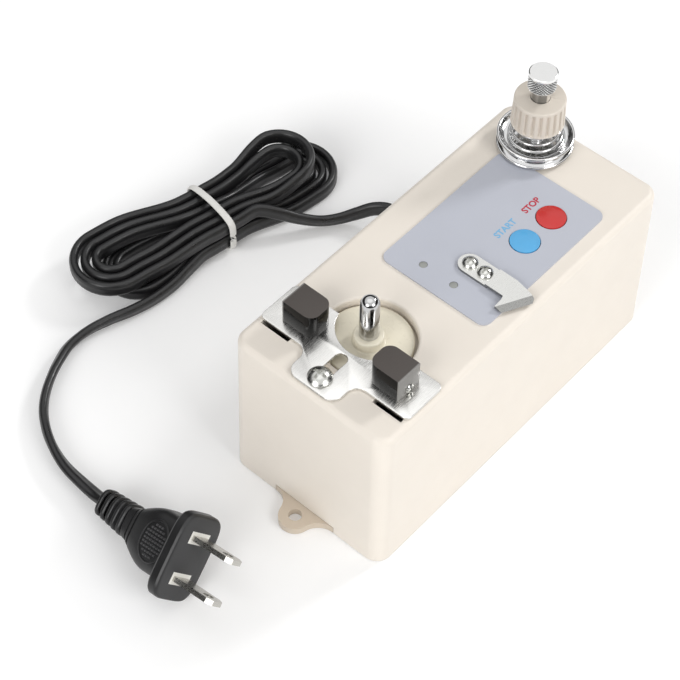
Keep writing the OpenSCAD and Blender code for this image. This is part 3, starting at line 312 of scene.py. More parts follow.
def turned_steel(name, colour, roughness):
    """Bright turned steel with fine rings round its axis."""
    finish = Finish(name, roughness, metallic=1.0)
    rings = finish.noise(0.1 * MM, detail=4, stretch=(60, 60, 1))
    finish.colour(rings, shade(colour, 0.9), colour)
    finish.rough(rings, roughness - 0.05, roughness + 0.06)
    finish.bump(rings, 0.001 * MM, strength=0.4)
    return finish.material


def circuit_board(name):
    """Green solder mask over faint copper tracks."""
    finish = Finish(name, 0.35, Coat_Weight=0.3)
    tracks = finish.node("ShaderNodeTexBrick", Vector=finish.place, Scale=120.0).outputs["Fac"]
    finish.colour(tracks, linear(28, 92, 52), linear(52, 124, 70), 0, 1)
    finish.bump(tracks, 0.03 * MM, strength=0.5)
    return finish.material


def laminations(name):
    """Stacked iron sheets under brown varnish."""
    finish = Finish(name, 0.5, metallic=0.6)
    wave = finish.node("ShaderNodeTexWave", Vector=finish.place, Scale=320.0, Distortion=0.3)
    finish.colour(wave.outputs["Fac"], linear(86, 80, 76), linear(150, 146, 140), 0, 1)
    finish.bump(wave.outputs["Fac"], 0.05 * MM, strength=0.6)
    return finish.material


def enamelled_wire(name):
    """Copper turns wound side by side."""
    finish = Finish(name, 0.3, metallic=0.9)
    wave = finish.node("ShaderNodeTexWave", Vector=finish.place, Scale=560.0, Distortion=0.8)
    finish.colour(wave.outputs["Fac"], linear(120, 62, 34), linear(196, 118, 70), 0, 1)
    finish.bump(wave.outputs["Fac"], 0.1 * MM, strength=0.7)
    return finish.material


CREAM = linear(236, 228, 217)
IVORY = linear(230, 223, 203)
BRIGHT = linear(224, 224, 224)
BLACK = linear(28, 28, 29)

FINISHES = {
    "body_plastic": moulded("cream_body_plastic", CREAM),
    "base_plastic": moulded("cream_base_plastic", linear(208, 194, 176)),
    "panel_film": moulded("grey_panel_film", linear(189, 192, 202), 0.5, grain=0.3 * MM, depth=0.004 * MM,
                          mottle=0.015),
    "blue_plastic": glossy("blue_button", linear(84, 170, 222)),
    "red_plastic": glossy("red_button", linear(200, 40, 38)),
    "lamp_lens": glossy("lamp_lens", linear(150, 152, 148), 0.3, coat=0.1),
    "bright_steel": plated("bright_plating", BRIGHT),
    "satin_steel": edge_shaded_steel("satin_steel", linear(224, 224, 221), linear(146, 146, 144)),
    "plate_steel": brushed("brushed_plate", linear(232, 231, 228), 0.24, stretch=(1, 24, 1),
                           depth=0.001 * MM),
    "screw_steel": plated("zinc_plating", linear(206, 206, 202), 0.2, smudge=0.18),
    "smoke_plastic": smoked_block("smoked_block"),
    "led_epoxy": glossy("clear_epoxy", linear(190, 202, 220), 0.08, mottle=0.05, coat=0.6),
    "sensor_epoxy": glossy("dark_epoxy", linear(24, 24, 26), 0.1, mottle=0.1, coat=0.6),
    "ivory_plastic": glossy("ivory_seat", IVORY, 0.28, mottle=0.02, coat=0.15),
    "knob_plastic": moulded("knob_plastic", linear(218, 209, 197), 0.4),
    "motor_steel": brushed("motor_steel", linear(178, 178, 178), 0.35, stretch=(1, 1, 30)),
    "magnet": moulded("sintered_magnet", linear(52, 52, 54), 0.7, grain=0.2 * MM, depth=0.03 * MM,
                      mottle=0.1),
    "motor_cap": moulded("black_motor_cap", linear(40, 40, 41), 0.5),
    "bush_bronze": plated("sintered_bronze", linear(178, 138, 88), 0.4, smudge=0.2),
    "copper": enamelled_wire("copper_winding"),
    "board": circuit_board("green_board"),
    "switch_black": moulded("black_switch", linear(34, 34, 35), 0.45),
    "core_iron": laminations("core_laminations"),
    "winding_tape": moulded("winding_tape", linear(214, 176, 70), 0.3, grain=1.5 * MM, depth=0.03 * MM,
                            mottle=0.06),
    "capacitor_sleeve": glossy("capacitor_sleeve", linear(44, 56, 104), 0.25),
    "terminal_green": moulded("green_terminal", linear(70, 146, 96), 0.45),
    "cord_black": vinyl("black_vinyl", BLACK),
    "tie_white": moulded("white_tie", linear(232, 231, 227), 0.5, grain=0.25 * MM, depth=0.02 * MM,
                         mottle=0.03),
    "blade_nickel": brushed("nickel_blade", linear(196, 194, 188), 0.26, stretch=(20, 1, 1)),
    "insulator_white": moulded("white_insulator", linear(233, 231, 224), 0.4),
}


def coat(thing, slot):
    """Gives an object the one finish of a slot."""
    thing.data.materials.clear()
    thing.data.materials.append(FINISHES[slot])


def dress_solids():
    """Gives every solid of the model the finish of its slot."""
    for part in frame["record"]["subparts"]:
        coat(nodes[part["node"]], part["material_slot"])


# Building pieces

WELD, FINE_WELD = 1e-6, 1e-7


def piece_from(shape, name, body, slot, angle):
    """Turns a finished bmesh into a piece, smooth up to an angle, on a body if one is named."""
    bmesh.ops.remove_doubles(shape, verts=shape.verts, dist=FINE_WELD)
    bmesh.ops.recalc_face_normals(shape, faces=shape.faces)
    mesh = bpy.data.meshes.new(name)
    shape.to_mesh(mesh)
    shape.free()
    mesh.shade_smooth()
    mesh.set_sharp_from_angle(angle=math.radians(angle))
    piece = bpy.data.objects.new(name, mesh)
    scene.collection.objects.link(piece)
    coat(piece, slot)
    if body:
        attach(piece, body)
    return piece


def poly_curve(name, dimensions, points, closed):
    """An object with one curve of straight steps through points."""
    data = bpy.data.curves.new(name, "CURVE")
    data.dimensions = dimensions
    run = data.splines.new("POLY")
    run.points.add(len(points) - 1)
    for point, at in zip(run.points, points):
        point.co = (*at, 1)
    run.use_cyclic_u = closed
    made = bpy.data.objects.new(name, data)
    scene.collection.objects.link(made)
    return made


def meshed(source):
    """The mesh that a curve or text object makes."""
    bpy.context.view_layer.update()
    return bpy.data.meshes.new_from_object(source.evaluated_get(bpy.context.evaluated_depsgraph_get()))


def swept(name, points, turns, outline, closed=False):
    """A tube along points whose flat outline is turned about the run, as a bmesh."""
    profile = poly_curve(name + "_outline", "2D", [(x, y, 0) for x, y in outline], True)
    route = poly_curve(name + "_route", "3D", points, closed)
    route.data.twist_mode = "Z_UP"
    route.data.bevel_mode = "OBJECT"
    route.data.bevel_object = profile
    route.data.use_fill_caps = not closed
    for point, turn in zip(route.data.splines[0].points, turns):
        point.tilt = math.radians(turn)
    mesh = meshed(route)
    for used in (route.data, profile.data):
        bpy.data.curves.remove(used)
    shape = bmesh.new()
    shape.from_mesh(mesh)
    bpy.data.meshes.remove(mesh)
    return shape


def add_part(shape, part, place):
    """Adds one finished bmesh to another, moved into place."""
    bmesh.ops.transform(part, matrix=place, verts=part.verts)
    mesh = bpy.data.meshes.new("part")
    part.to_mesh(mesh)
    part.free()
    shape.from_mesh(mesh)
    bpy.data.meshes.remove(mesh)


def spun(rows, sides, closed=False):
    """Spins a profile of (radius, height) in millimetres round the Z axis."""
    shape = bmesh.new()
    profile = [shape.verts.new(mm(r, 0, z)) for r, z in rows]
    pairs = zip(profile, profile[1:] + profile[:1] if closed else profile[1:])
    edges = [shape.edges.new(pair) for pair in pairs]
    bmesh.ops.spin(shape, geom=profile + edges, cent=(0, 0, 0), axis=(0, 0, 1),
                   angle=2 * math.pi, steps=sides, use_merge=True)
    bmesh.ops.remove_doubles(shape, verts=shape.verts, dist=WELD)
    return shape


def arc(r, z, radius, start, end, steps=6):
    """Profile points on an arc about (r, z), its angles in degrees."""
    turns = [math.radians(start + (end - start) * k / steps) for k in range(steps + 1)]
    return [(r + radius * math.cos(a), z + radius * math.sin(a)) for a in turns]


def round_steps(count):
    """Angles in equal steps round a circle."""
    return [2 * math.pi * k / count for k in range(count)]


def signed_power(value, power):
    """A power of a number's size, with the number's sign."""
    return math.copysign(abs(value) ** power, value)


OUTLINE_SIDES = 56


def drawn_out(stations, squareness):
    """Extrudes a rounded rectangle along X, through stations of place, half width and half height."""
    shape = bmesh.new()
    outline = bmesh.ops.create_circle(shape, cap_ends=True, segments=OUTLINE_SIDES, radius=1)["verts"]
    for vert in outline:
        y, z = (signed_power(c, 2 / squareness) for c in vert.co.xy)
        vert.co = (0, y, z)
    face = outline[0].link_faces[0]
    x, half_y, half_z = stations[0]
    bmesh.ops.scale(shape, vec=mm(1, half_y, half_z), verts=face.verts)
    bmesh.ops.translate(shape, vec=mm(x, 0, 0), verts=face.verts)
    for next_x, next_y, next_z in stations[1:]:
        made = bmesh.ops.extrude_face_region(shape, geom=[face])["geom"]
        face = next(item for item in made if isinstance(item, bmesh.types.BMFace))
        bmesh.ops.scale(shape, vec=(1, next_y / half_y, next_z / half_z), verts=face.verts)
        bmesh.ops.translate(shape, vec=mm(next_x - x, 0, 0), verts=face.verts)
        x, half_y, half_z = next_x, next_y, next_z
    return shape


FLAT_ANGLE, SHARP_ANGLE = math.radians(1), math.radians(35)


def softened(node, name, body, slot, width):
    """A copy of a solid with its sharp edges rounded off by width millimetres."""
    shape = bmesh.new()
    shape.from_mesh(nodes[node].data)
    bmesh.ops.remove_doubles(shape, verts=shape.verts, dist=WELD)
    bmesh.ops.dissolve_limit(shape, angle_limit=FLAT_ANGLE, verts=shape.verts, edges=shape.edges)
    sharp = [edge for edge in shape.edges if edge.is_manifold and edge.calc_face_angle() > SHARP_ANGLE]
    bmesh.ops.bevel(shape, geom=sharp, offset=width * MM, offset_type="OFFSET", affect="EDGES",
                    segments=3, profile=0.5, material=-1, clamp_overlap=True)
    piece = piece_from(shape, name, body, slot, angle=30)
    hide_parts(node)


# Mains cord: the route repeats the solids' points, in millimetres, with the turn of the flat cord

CORD_WIDTH, CORD_THICK = 5.4, 3.0
CORD_SIDES, CORD_SQUARE, GROOVE_DEPTH, GROOVE_HALF = 28, (0.8, 0.85), 0.16, 0.2
MERGE_UNDER = 0.01
HANK_MID, HANK_TURN = (-96.8, -2.8), -8.4
FOLD_R, HANK_RUN, HANK_STEP, LAYER_GAP, LAYER_SLIDE = 4.1, 33, 3.6, 0.6, 7
WAIST_IN, WAIST_HALF, WAIST_LIFT, FAN_LIFT, NEAR_LEAN = FOLD_R - 0.9, 6, 1.6, 7.6, 4.2
FLARE_SHORT = 2
RUN_SHARE, CLIMB_SHARE, LOOPS = 0.15, 0.18, 5
CLIMB_AT = LOOPS / 2
LOOP_STATIONS, CURVE_STATIONS = 120, 8
RELIEF_TIP = (-49, 38, 8, 90)
LEAD_POINTS = [
    (-59.4, 35.8, 6.6, 90), (-63.4, 31.8, 4.6, 85), (-67, 27, 3.4, 75), (-70.8, 22, 3.6, 70),
    (-75.2, 16.8, 5.8, 75), (-79.8, 12.4, 8.4, 85), (-83.4, 9.2, 9.8, 90),
]
TAIL_POINTS = [
    (-88.2, -21.2, 3.8, 90), (-87.6, -29.4, 3.2, 85), (-88.2, -37.4, 2.9, 80), (-90, -45.2, 2.8, 75),
    (-92.8, -52.8, 2.7, 70), (-94.8, -60.6, 2.6, 60), (-94.9, -68.4, 2.5, 55), (-93, -74.6, 2.5, 60),
    (-90.2, -80.6, 2.7, 70), (-86.2, -87, 2.8, 80), (-81.6, -92, 2.8, 90), (-76.4, -95.8, 2.8, 90),
    (-70.8, -98.6, 2.8, 100), (-65, -100.6, 2.9, 115), (-59, -101.8, 3.2, 130),
]
PLUG_AT = mm(-6.75, -104.65, 14.4)
PLUG_YAW, PLUG_PITCH, PLUG_ROLL = -1.4, 14.3, 38
PLUG_LENGTH, GRIP_LENGTH, BOOT_LENGTH, BOOT_YAW = 24.4, 20, 13.6, -3


def turned(axis, degrees):
    """A turn about one axis."""
    return Matrix.Rotation(math.radians(degrees), 4, axis)


PLUG_TURN = turned("Z", PLUG_YAW) @ turned("Y", -PLUG_PITCH) @ turned("X", PLUG_ROLL)
PLUG_PLACE = Matrix.Translation(PLUG_AT) @ PLUG_TURN
BOOT_TURN = turned("X", -PLUG_ROLL) @ turned("Z", BOOT_YAW) @ turned("X", PLUG_ROLL)
BOOT_PLACE = PLUG_PLACE @ Matrix.Translation(mm(-PLUG_LENGTH, 0, 0)) @ BOOT_TURN


def ease(t):
    """Runs softly from 0 to 1 while t does, and stays level outside."""
    t = min(max(t, 0), 1)
    return t * t * (3 - 2 * t)


def level(p):
    """0 in the hank's lower layer, 1 in the upper, and between while the cord climbs."""
    return ease((p - CLIMB_AT + RUN_SHARE) / CLIMB_SHARE)


def loop_place(p):
    """Where turn p of the hank runs: along the hank, and across it."""
    f = p - math.floor(p + 0.5)
    r = FOLD_R + HANK_STEP * abs(p - CLIMB_AT)
    g = f - 0.5 if f > 0 else f + 0.5
    slide = LAYER_SLIDE * (0.5 - level(p))
    run = HANK_RUN / RUN_SHARE
    flare = HANK_RUN - LAYER_SLIDE / 2 - WAIST_HALF - FLARE_SHORT

    def side(u):
        return r - WAIST_IN * (1 - ease((abs(u) - WAIST_HALF) / flare))

    if abs(f) <= RUN_SHARE:
        u = run * f + slide
        return u, side(u)
    if abs(g) <= RUN_SHARE:
        u = slide - run * g
        return u, -side(u)
    a = math.radians(90 - 180 * (abs(f) - RUN_SHARE) / (0.5 - 2 * RUN_SHARE))
    return math.copysign(HANK_RUN + r * math.cos(a), f) + slide, r * math.sin(a)


def hank_height(u, p):
    """Height of turn p at u along the hank: its layer, the lift at the tied waist and the far fan."""
    waist = (1 + math.cos(math.pi * u / HANK_RUN)) / 2 if abs(u) < HANK_RUN else 0
    fan = ease(2 * u / HANK_RUN - 1) * max(0, p - CLIMB_AT) / CLIMB_AT
    return CORD_WIDTH / 2 + level(p) * (CORD_WIDTH + LAYER_GAP) + WAIST_LIFT * waist + FAN_LIFT * fan


def to_floor(u, v, z):
    """A point along, across and above the hank, in the frame, with the cord on edge."""
    a = math.radians(HANK_TURN)
    x = HANK_MID[0] - u * math.sin(a) + v * math.cos(a)
    y = HANK_MID[1] + u * math.cos(a) + v * math.sin(a)
    return x, y, z, 90


def hank_point(p):
    """A point of turn p, with the upper layer leaning outwards at the hank's near end."""
    u, v = loop_place(p)
    return to_floor(u, v - NEAR_LEAN * level(p) * ease(-u / HANK_RUN), hank_height(u, p))


def hank_stub(p, steps):
    """A point on the straight run that carries the cord into or out of the waist."""
    u, v = loop_place(p)
    return to_floor(steps * CORD_WIDTH, v, hank_height(u, p))


def curved(points):
    """Stations on a smooth curve through points, each with its turn."""
    made = []
    for i in range(len(points) - 1):
        a, b, c, d = (points[min(max(i + k, 0), len(points) - 1)] for k in (-1, 0, 1, 2))
        for s in range(CURVE_STATIONS):
            t = s / CURVE_STATIONS
            made.append(tuple(
                0.5 * (2 * q1 + (q2 - q0) * t + (2 * q0 - 5 * q1 + 4 * q2 - q3) * t ** 2
                       + (3 * q1 - q0 - 3 * q2 + q3) * t ** 3)
                for q0, q1, q2, q3 in zip(a, b, c, d)))
    return made + [points[-1]]


def flat_cord_outline():
    """Two round cores side by side in one skin, with a shallow groove between them."""
    outline = []
    for a in round_steps(CORD_SIDES):
        x, y = (signed_power(c, power) for c, power in zip((math.cos(a), math.sin(a)), CORD_SQUARE))
        groove = 1 - GROOVE_DEPTH * math.exp(-(x / GROOVE_HALF) ** 2)
        outline.append((x * CORD_WIDTH / 2 * MM, y * groove * CORD_THICK / 2 * MM))
    return outline


def mains_cord():
    """The whole route, from the strain relief through the hank to the plug's boot."""
    tip = BOOT_PLACE @ mm(-BOOT_LENGTH, 0, 0) / MM
    before_tip = BOOT_PLACE @ mm(-BOOT_LENGTH - CORD_WIDTH, 0, 0) / MM
    plug_turn = 180 - PLUG_ROLL
    relief_out = (RELIEF_TIP[0] - CORD_WIDTH, *RELIEF_TIP[1:])
    lead = curved([RELIEF_TIP, relief_out, *LEAD_POINTS, hank_stub(LOOPS, 2), hank_stub(LOOPS, 1)])
    hank = [hank_point(LOOPS - i / LOOP_STATIONS) for i in range(LOOPS * LOOP_STATIONS + 1)]
    plug_end = (*before_tip, plug_turn), (*tip, plug_turn)
    tail = curved([hank_stub(0, -1), hank_stub(0, -2), *TAIL_POINTS, *plug_end])
    return lead + hank + tail


def merged(route):
    """The route as points and turns, with stations that lie almost on each other merged."""
    points, turns = [], []
    for *at, turn in route:
        at = Vector(at) * MM
        if not points or (at - points[-1]).length > MERGE_UNDER * MM:
            points.append(at)
            turns.append(turn)
    return points, turns


def lay_cord():
    """The cord as one piece in place of its three solids, and the points of its middle line."""
    points, turns = merged(mains_cord())
    skin = swept("mains_cord", points, turns, flat_cord_outline())
    cord = piece_from(skin, "mains_cord", "body", "cord_black", angle=60)
    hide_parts("cord_lead", "cord_hank", "cord_tail")
    return cord, points


# Cord tie

TIE_WIDTH, TIE_THICK, TIE_GAP = 2.4, 1.2, 0.3
TIE_SQUARE, TIE_CROWN, TIE_STATIONS = 6, 1.4, 72
RIBBON_SIDES, RIBBON_FLAT, RIBBON_EDGE, WIRE_HALF = 20, 0.6, 0.7, 0.3


def tie_ribbon():
    """The tie's outline: a thin ribbon that swells over the wire in its middle."""
    outline = []
    for a in round_steps(RIBBON_SIDES):
        x, y = math.cos(a), math.sin(a)
        swell = RIBBON_EDGE + (1 - RIBBON_EDGE) * math.exp(-(x / WIRE_HALF) ** 2)
        across = signed_power(x, RIBBON_FLAT)
        outline.append((across * TIE_WIDTH / 2 * MM, y * swell * TIE_THICK / 2 * MM))
    return outline


def cord_tie():
    """A paper-covered wire tie: a flat ribbon with a wire down its middle, drawn round the waist."""
    side = CORD_THICK / 2 + TIE_GAP + TIE_THICK / 2
    low, high = loop_place(0.5)[1] - side, loop_place(0)[1] + side
    bottom = WAIST_LIFT - TIE_GAP - TIE_THICK / 2
    top = WAIST_LIFT + 2 * CORD_WIDTH + LAYER_GAP + TIE_GAP + TIE_THICK / 2
    mid, half, height = (low + high) / 2, (high - low) / 2, (top - bottom) / 2
    points = []
    for a in round_steps(TIE_STATIONS):
        c, s = math.cos(a), math.sin(a)
        out = (abs(c) ** TIE_SQUARE + abs(s) ** TIE_SQUARE) ** (-1 / TIE_SQUARE)
        crown = TIE_CROWN * max(0, s) * (1 - abs(c * out) ** 2)
        at = to_floor(0, mid + half * c * out, bottom + height * (1 + s * out) + crown)
        points.append(Vector(at[:3]) * MM)
    loop = swept("cord_tie", points, [0] * len(points), tie_ribbon(), closed=True)
    tie = piece_from(loop, "cord_tie_ribbon", "body", "tie_white", angle=50)
    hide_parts("cord_tie")
    return tie


# Tension spring

KNOB_BOX, HEAD_BOX, SPRING_BOX = map(extent, ("tension_knob", "knurled_head", "tension_spring"))
TENSION_AT = ((HEAD_BOX[0].x + HEAD_BOX[1].x) / 2, (HEAD_BOX[0].y + HEAD_BOX[1].y) / 2)
SPRING_WIRE, SPRING_R, SPRING_TOP_R, SPRING_COILS = 0.9, 8.6, 5.6, 4
COIL_STATIONS, WIRE_SIDES, STILL_FOOT = 48, 14, 0.3
SPRING_LOW, SPRING_HIGH = SPRING_BOX[0].z + SPRING_WIRE / 2, SPRING_BOX[1].z - SPRING_WIRE / 2


def tension_spring():
    """A tapering coil whose end turns lie flat on the disc and on the washer."""
    steps = SPRING_COILS * COIL_STATIONS
    points = []
    for i in range(steps + 1):
        t = i / steps
        a = 2 * math.pi * SPRING_COILS * t
        r = SPRING_R + (SPRING_TOP_R - SPRING_R) * t
        z = SPRING_LOW + (SPRING_HIGH - SPRING_LOW) * ease(t)
        points.append(mm(TENSION_AT[0] + r * math.cos(a), TENSION_AT[1] + r * math.sin(a), z))
    wire = [(x * MM, y * MM) for x, y in arc(0, 0, SPRING_WIRE / 2, 0, 360, WIRE_SIDES)[:-1]]
    coil = swept("tension_coil", points, [0] * len(points), wire)
    spring = piece_from(coil, "tension_coil", None, "bright_steel", angle=60)
    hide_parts("tension_spring")
    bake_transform(spring)


# Mains plug

FLANGE_WIDTH, FLANGE_HEIGHT, FLANGE_THICK, FLANGE_SQUARE = 26.5, 17, 4.4, 4.6
# Places and insets of the flange's rounded edge
FLANGE_EDGE = (
    (-FLANGE_THICK, 0.9), (-FLANGE_THICK + 0.3, 0.3), (-FLANGE_THICK + 0.9, 0),
    (-1.1, 0), (-0.4, 0.3), (-0.04, 0.9),
)
GRIP_FULL, GRIP_ROOT, GRIP_END, GRIP_RUN_ON, GRIP_SQUARE = 11, (9.6, 6.0), (6.3, 5.0), -0.28, 4
GRIP_LAP, GRIP_SMOOTH = 0.4, range(-10, -20, -1)
# Places and insets of the two grooves and the rounded end of the grip
GRIP_GROOVES = (
    (-19.6, 0), (-19.8, 0.35), (-20.1, 0.35), (-20.3, 0), (-21.2, 0),
    (-21.4, 0.35), (-21.7, 0.35), (-21.9, 0), (-24, 0.1), (-PLUG_LENGTH, 0.5),
)
PAD_AT, PAD_HALF, PAD_PITCH, PAD_RISE, PAD_FILL = -9.9, (4.8, 6.0), 1.15, 0.5, 0.9
STUD_TIP, STUD_SINK = 0.22, 0.1
# Shares of the pad's oval and heights round the rim's section
PAD_RIM = (1.0, 0.2), (1.02, 0.26), (1.06, 0.26), (1.09, 0.16), (1.1, -0.2), (0.98, -0.2)
RIM_SIDES = 64
BOOT_RIBS, BOOT_WALL, BOOT_SQUARE = 5, 0.8, 3.2
RIB_HALF, RIB_TAPER, RIB_SHARE, RIB_FIRST, RIB_FLANK = (5.1, 4.3), (0.2, 0.15), 0.6, 0.6, 0.05
# Places and insets at a rib's rounded edge
RIB_EDGE = (0, 0.5), (0.2, 0.15), (0.5, 0)


def grip_half(x):
    """Half width and half height of the plug's hand grip at x."""
    share = (x + GRIP_LENGTH) / (GRIP_LENGTH - GRIP_FULL)
    t = math.sin(math.pi / 2 * min(max(share, GRIP_RUN_ON), 1))
    return tuple(end + (root - end) * t for root, end in zip(GRIP_ROOT, GRIP_END))


def grip_top(x, y):
    """Height of the grip's upper face over its middle."""
    half_y, half_z = grip_half(x)
    return half_z * (1 - min(abs(y) / half_y, 1) ** GRIP_SQUARE) ** (1 / GRIP_SQUARE)


def pad_studs():
    """An oval field of small blunt pyramids on the upper face of the grip."""
    shape = bmesh.new()
    count = int(max(PAD_HALF) / PAD_PITCH)
    for i in range(-count, count + 1):
        for j in range(-count, count + 1):
            x, y = PAD_AT + i * PAD_PITCH, j * PAD_PITCH
            if math.hypot(i * PAD_PITCH / PAD_HALF[0], y / PAD_HALF[1]) > PAD_FILL:
                continue
            middle = mm(x, y, grip_top(x, y) + PAD_RISE / 2 - STUD_SINK)
            bmesh.ops.create_cone(shape, cap_ends=True, segments=4, radius1=PAD_PITCH / 2 * MM,
                                  radius2=STUD_TIP * MM, depth=(PAD_RISE + 2 * STUD_SINK) * MM,
                                  matrix=Matrix.Translation(middle) @ turned("Z", 45))
    return shape


def pad_rim():
    """A low rim round the field of pyramids."""
    shape = spun(PAD_RIM, RIM_SIDES, closed=True)
    bmesh.ops.scale(shape, vec=(*PAD_HALF, 1), verts=shape.verts)
    for vert in shape.verts:
        x, y = PAD_AT + vert.co.x / MM, vert.co.y / MM
        vert.co = (x * MM, y * MM, vert.co.z + grip_top(x, y) * MM)
    return shape


def plug_boot():
    """The ribbed boot that runs back along the cord."""
    step = BOOT_LENGTH / BOOT_RIBS
    rib = step * RIB_SHARE
    core = CORD_WIDTH / 2 + BOOT_WALL, CORD_THICK / 2 + BOOT_WALL
    rounding = [(-x, inset) for x, inset in RIB_EDGE] + [(-rib + x, inset) for x, inset in RIB_EDGE[::-1]]
    stations = [(1, *core)]
    for i in range(BOOT_RIBS):
        start = -i * step - RIB_FIRST
        half_y, half_z = (half - taper * i for half, taper in zip(RIB_HALF, RIB_TAPER))
        stations.append((start + RIB_FLANK, *core))
        stations += [(start + x, half_y - inset, half_z - inset) for x, inset in rounding]
        stations.append((start - rib - RIB_FLANK, *core))
    return drawn_out(stations + [(-BOOT_LENGTH, *core)], BOOT_SQUARE)


def plug_vinyl(glossy_side=0.36, dull_front=0.62):
    """The cord's vinyl, with the spark-eroded front face of the flange duller, and also painted paler as
    painted sheen.
    """
    finish = Finish("plug_vinyl", glossy_side)
    finish.colour(finish.noise(9 * MM), linear(22, 22, 23), linear(34, 34, 35))
    front = finish.facing(PLUG_TURN.to_3x3() @ Vector((1, 0, 0)), 0.9, 0.98)
    # Painted sheen: the flange's front face painted paler than the rest of the vinyl
    finish.layer(front, linear(58, 58, 59))
    finish.rough(front, glossy_side, dull_front, 0, 1)
    finish.bump(finish.noise(0.6 * MM, detail=4), 0.03 * MM, strength=0.6)
    return finish.material


def mains_plug():
    """One black moulding: flange, tapering grip with two grooves at its end, and ribbed boot."""
    shape = bmesh.new()
    flange = [(x, FLANGE_WIDTH / 2 - inset, FLANGE_HEIGHT / 2 - inset) for x, inset in FLANGE_EDGE]
    add_part(shape, drawn_out(flange, FLANGE_SQUARE), PLUG_PLACE)
    grip = [(-FLANGE_THICK + GRIP_LAP, *grip_half(-FLANGE_THICK))]
    grip += [(x, *grip_half(x)) for x in GRIP_SMOOTH]
    grip += [(x, *(half - inset for half in grip_half(x))) for x, inset in GRIP_GROOVES]
    add_part(shape, drawn_out(grip, GRIP_SQUARE), PLUG_PLACE)
    add_part(shape, plug_boot(), BOOT_PLACE)
    studs = bmesh.new()
    for side in (0, 180):
        place = PLUG_PLACE @ turned("X", side)
        add_part(shape, pad_rim(), place)
        add_part(studs, pad_studs(), place)
    plug = piece_from(shape, "plug_moulding", "body", "cord_black", angle=35)
    plug.data.materials[0] = plug_vinyl()
    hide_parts("plug_body")
    pads = piece_from(studs, "grip_studs", "body", "cord_black", angle=35)
    # Painted highlight: the studs painted paler grey than the plug, as if lit on their tips
    pads.data.materials[0] = moulded("stud_highlight_vinyl", linear(92, 92, 93), 0.4)
    return plug, pads


# Tension knob and knurled head

KNOB_LOW, KNOB_TOP, KNOB_R = KNOB_BOX[0].z, KNOB_BOX[1].z, (KNOB_BOX[1].x - KNOB_BOX[0].x) / 2
KNOB_FLUTES, FLUTE_DEPTH, FLUTE_HALF, FLUTE_END = 22, 0.75, 0.28, 1.0
FLUTE_STEEP, FLUTE_FADE, FADE_STEPS, FLUTE_GRID = 1.3, 0.5, 5, 16
KNOB_RIM, KNOB_EDGE, KNOB_LEAN, KNOB_FOOT = 0.7, 0.5, 0.4, 0.3
KNOB_BORE, KNOB_RECESS, RECESS_DEPTH, BORE_EDGE = 2.96, 6.9, 1.5, 0.1
NECK_LOW, NECK_R, NECK_FILLET = HEAD_BOX[0].z, 2.9, 0.25
HEAD_TOP, HEAD_R, HEAD_LENGTH = HEAD_BOX[1].z, (HEAD_BOX[1].x - HEAD_BOX[0].x) / 2, 6.0
HEAD_BAND, HEAD_BEVEL, HEAD_INSET, HEAD_ROUND = 0.9, 0.5, 0.4, 0.12
HEAD_BOTTOM = HEAD_TOP - HEAD_LENGTH
KNURL_ROWS, KNURL_DEPTH, KNURL_GRID, KNURL_START = 28, 0.36, 6, 0.5
KNURL_LOW, KNURL_HIGH = HEAD_BOTTOM + KNURL_START, HEAD_TOP - HEAD_BAND
ZONE_BLUR, NECK_BLUR, CREST_CLEAR = 0.1, 0.2, 0.08
HAIR = 0.01


def reshape(shape, radius):
    """Moves each point in or out from the Z axis, to radius(r, angle, height) in millimetres."""
    for vert in shape.verts:
        r = vert.co.xy.length
        if r > 0:
            a = math.atan2(vert.co.y, vert.co.x)
            vert.co.xy *= radius(r / MM, a, vert.co.z / MM) * MM / r


def fluted_knob():
    """The tension knob: narrow flutes under a plain top edge, above a thin rim."""
    low, high = KNOB_LOW + KNOB_RIM, KNOB_TOP - FLUTE_END

    def wall(z):
        return KNOB_R - KNOB_LEAN * (z - KNOB_LOW) / (KNOB_TOP - KNOB_LOW)

    fade = [FLUTE_FADE * k / FADE_STEPS for k in range(FADE_STEPS + 1)]
    heights = [low + step for step in fade] + [low + (high - low) * k / 4 for k in (1, 2, 3)]
    heights += [high - FLUTE_FADE + step for step in fade]
    rows = [(KNOB_RECESS, KNOB_LOW), (KNOB_R - KNOB_FOOT, KNOB_LOW), (KNOB_R, KNOB_LOW + KNOB_FOOT)]
    rows += [(wall(z), z) for z in heights]
    rows += arc(wall(KNOB_TOP) - KNOB_EDGE, KNOB_TOP - KNOB_EDGE, KNOB_EDGE, 0, 90)
    rows += [(KNOB_BORE + BORE_EDGE, KNOB_TOP), (KNOB_BORE, KNOB_TOP - BORE_EDGE)]
    rows += [(KNOB_BORE, KNOB_LOW + RECESS_DEPTH), (KNOB_RECESS, KNOB_LOW + RECESS_DEPTH)]

    def flute(r, a, z):
        if r < wall(z) - HAIR:
            return r
        turn = KNOB_FLUTES * a / (2 * math.pi)
        groove = ease(FLUTE_STEEP * (1 - abs(turn - round(turn)) / FLUTE_HALF))
        return r - FLUTE_DEPTH * groove * ease((z - low) / FLUTE_FADE) * ease((high - z) / FLUTE_FADE)

    shape = spun(rows, KNOB_FLUTES * FLUTE_GRID, closed=True)
    reshape(shape, flute)
    bmesh.ops.translate(shape, vec=mm(*TENSION_AT, 0), verts=shape.verts)
    knob = piece_from(shape, "fluted_knob", "tension_knob", "knob_plastic", angle=45)
    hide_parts("tension_knob")


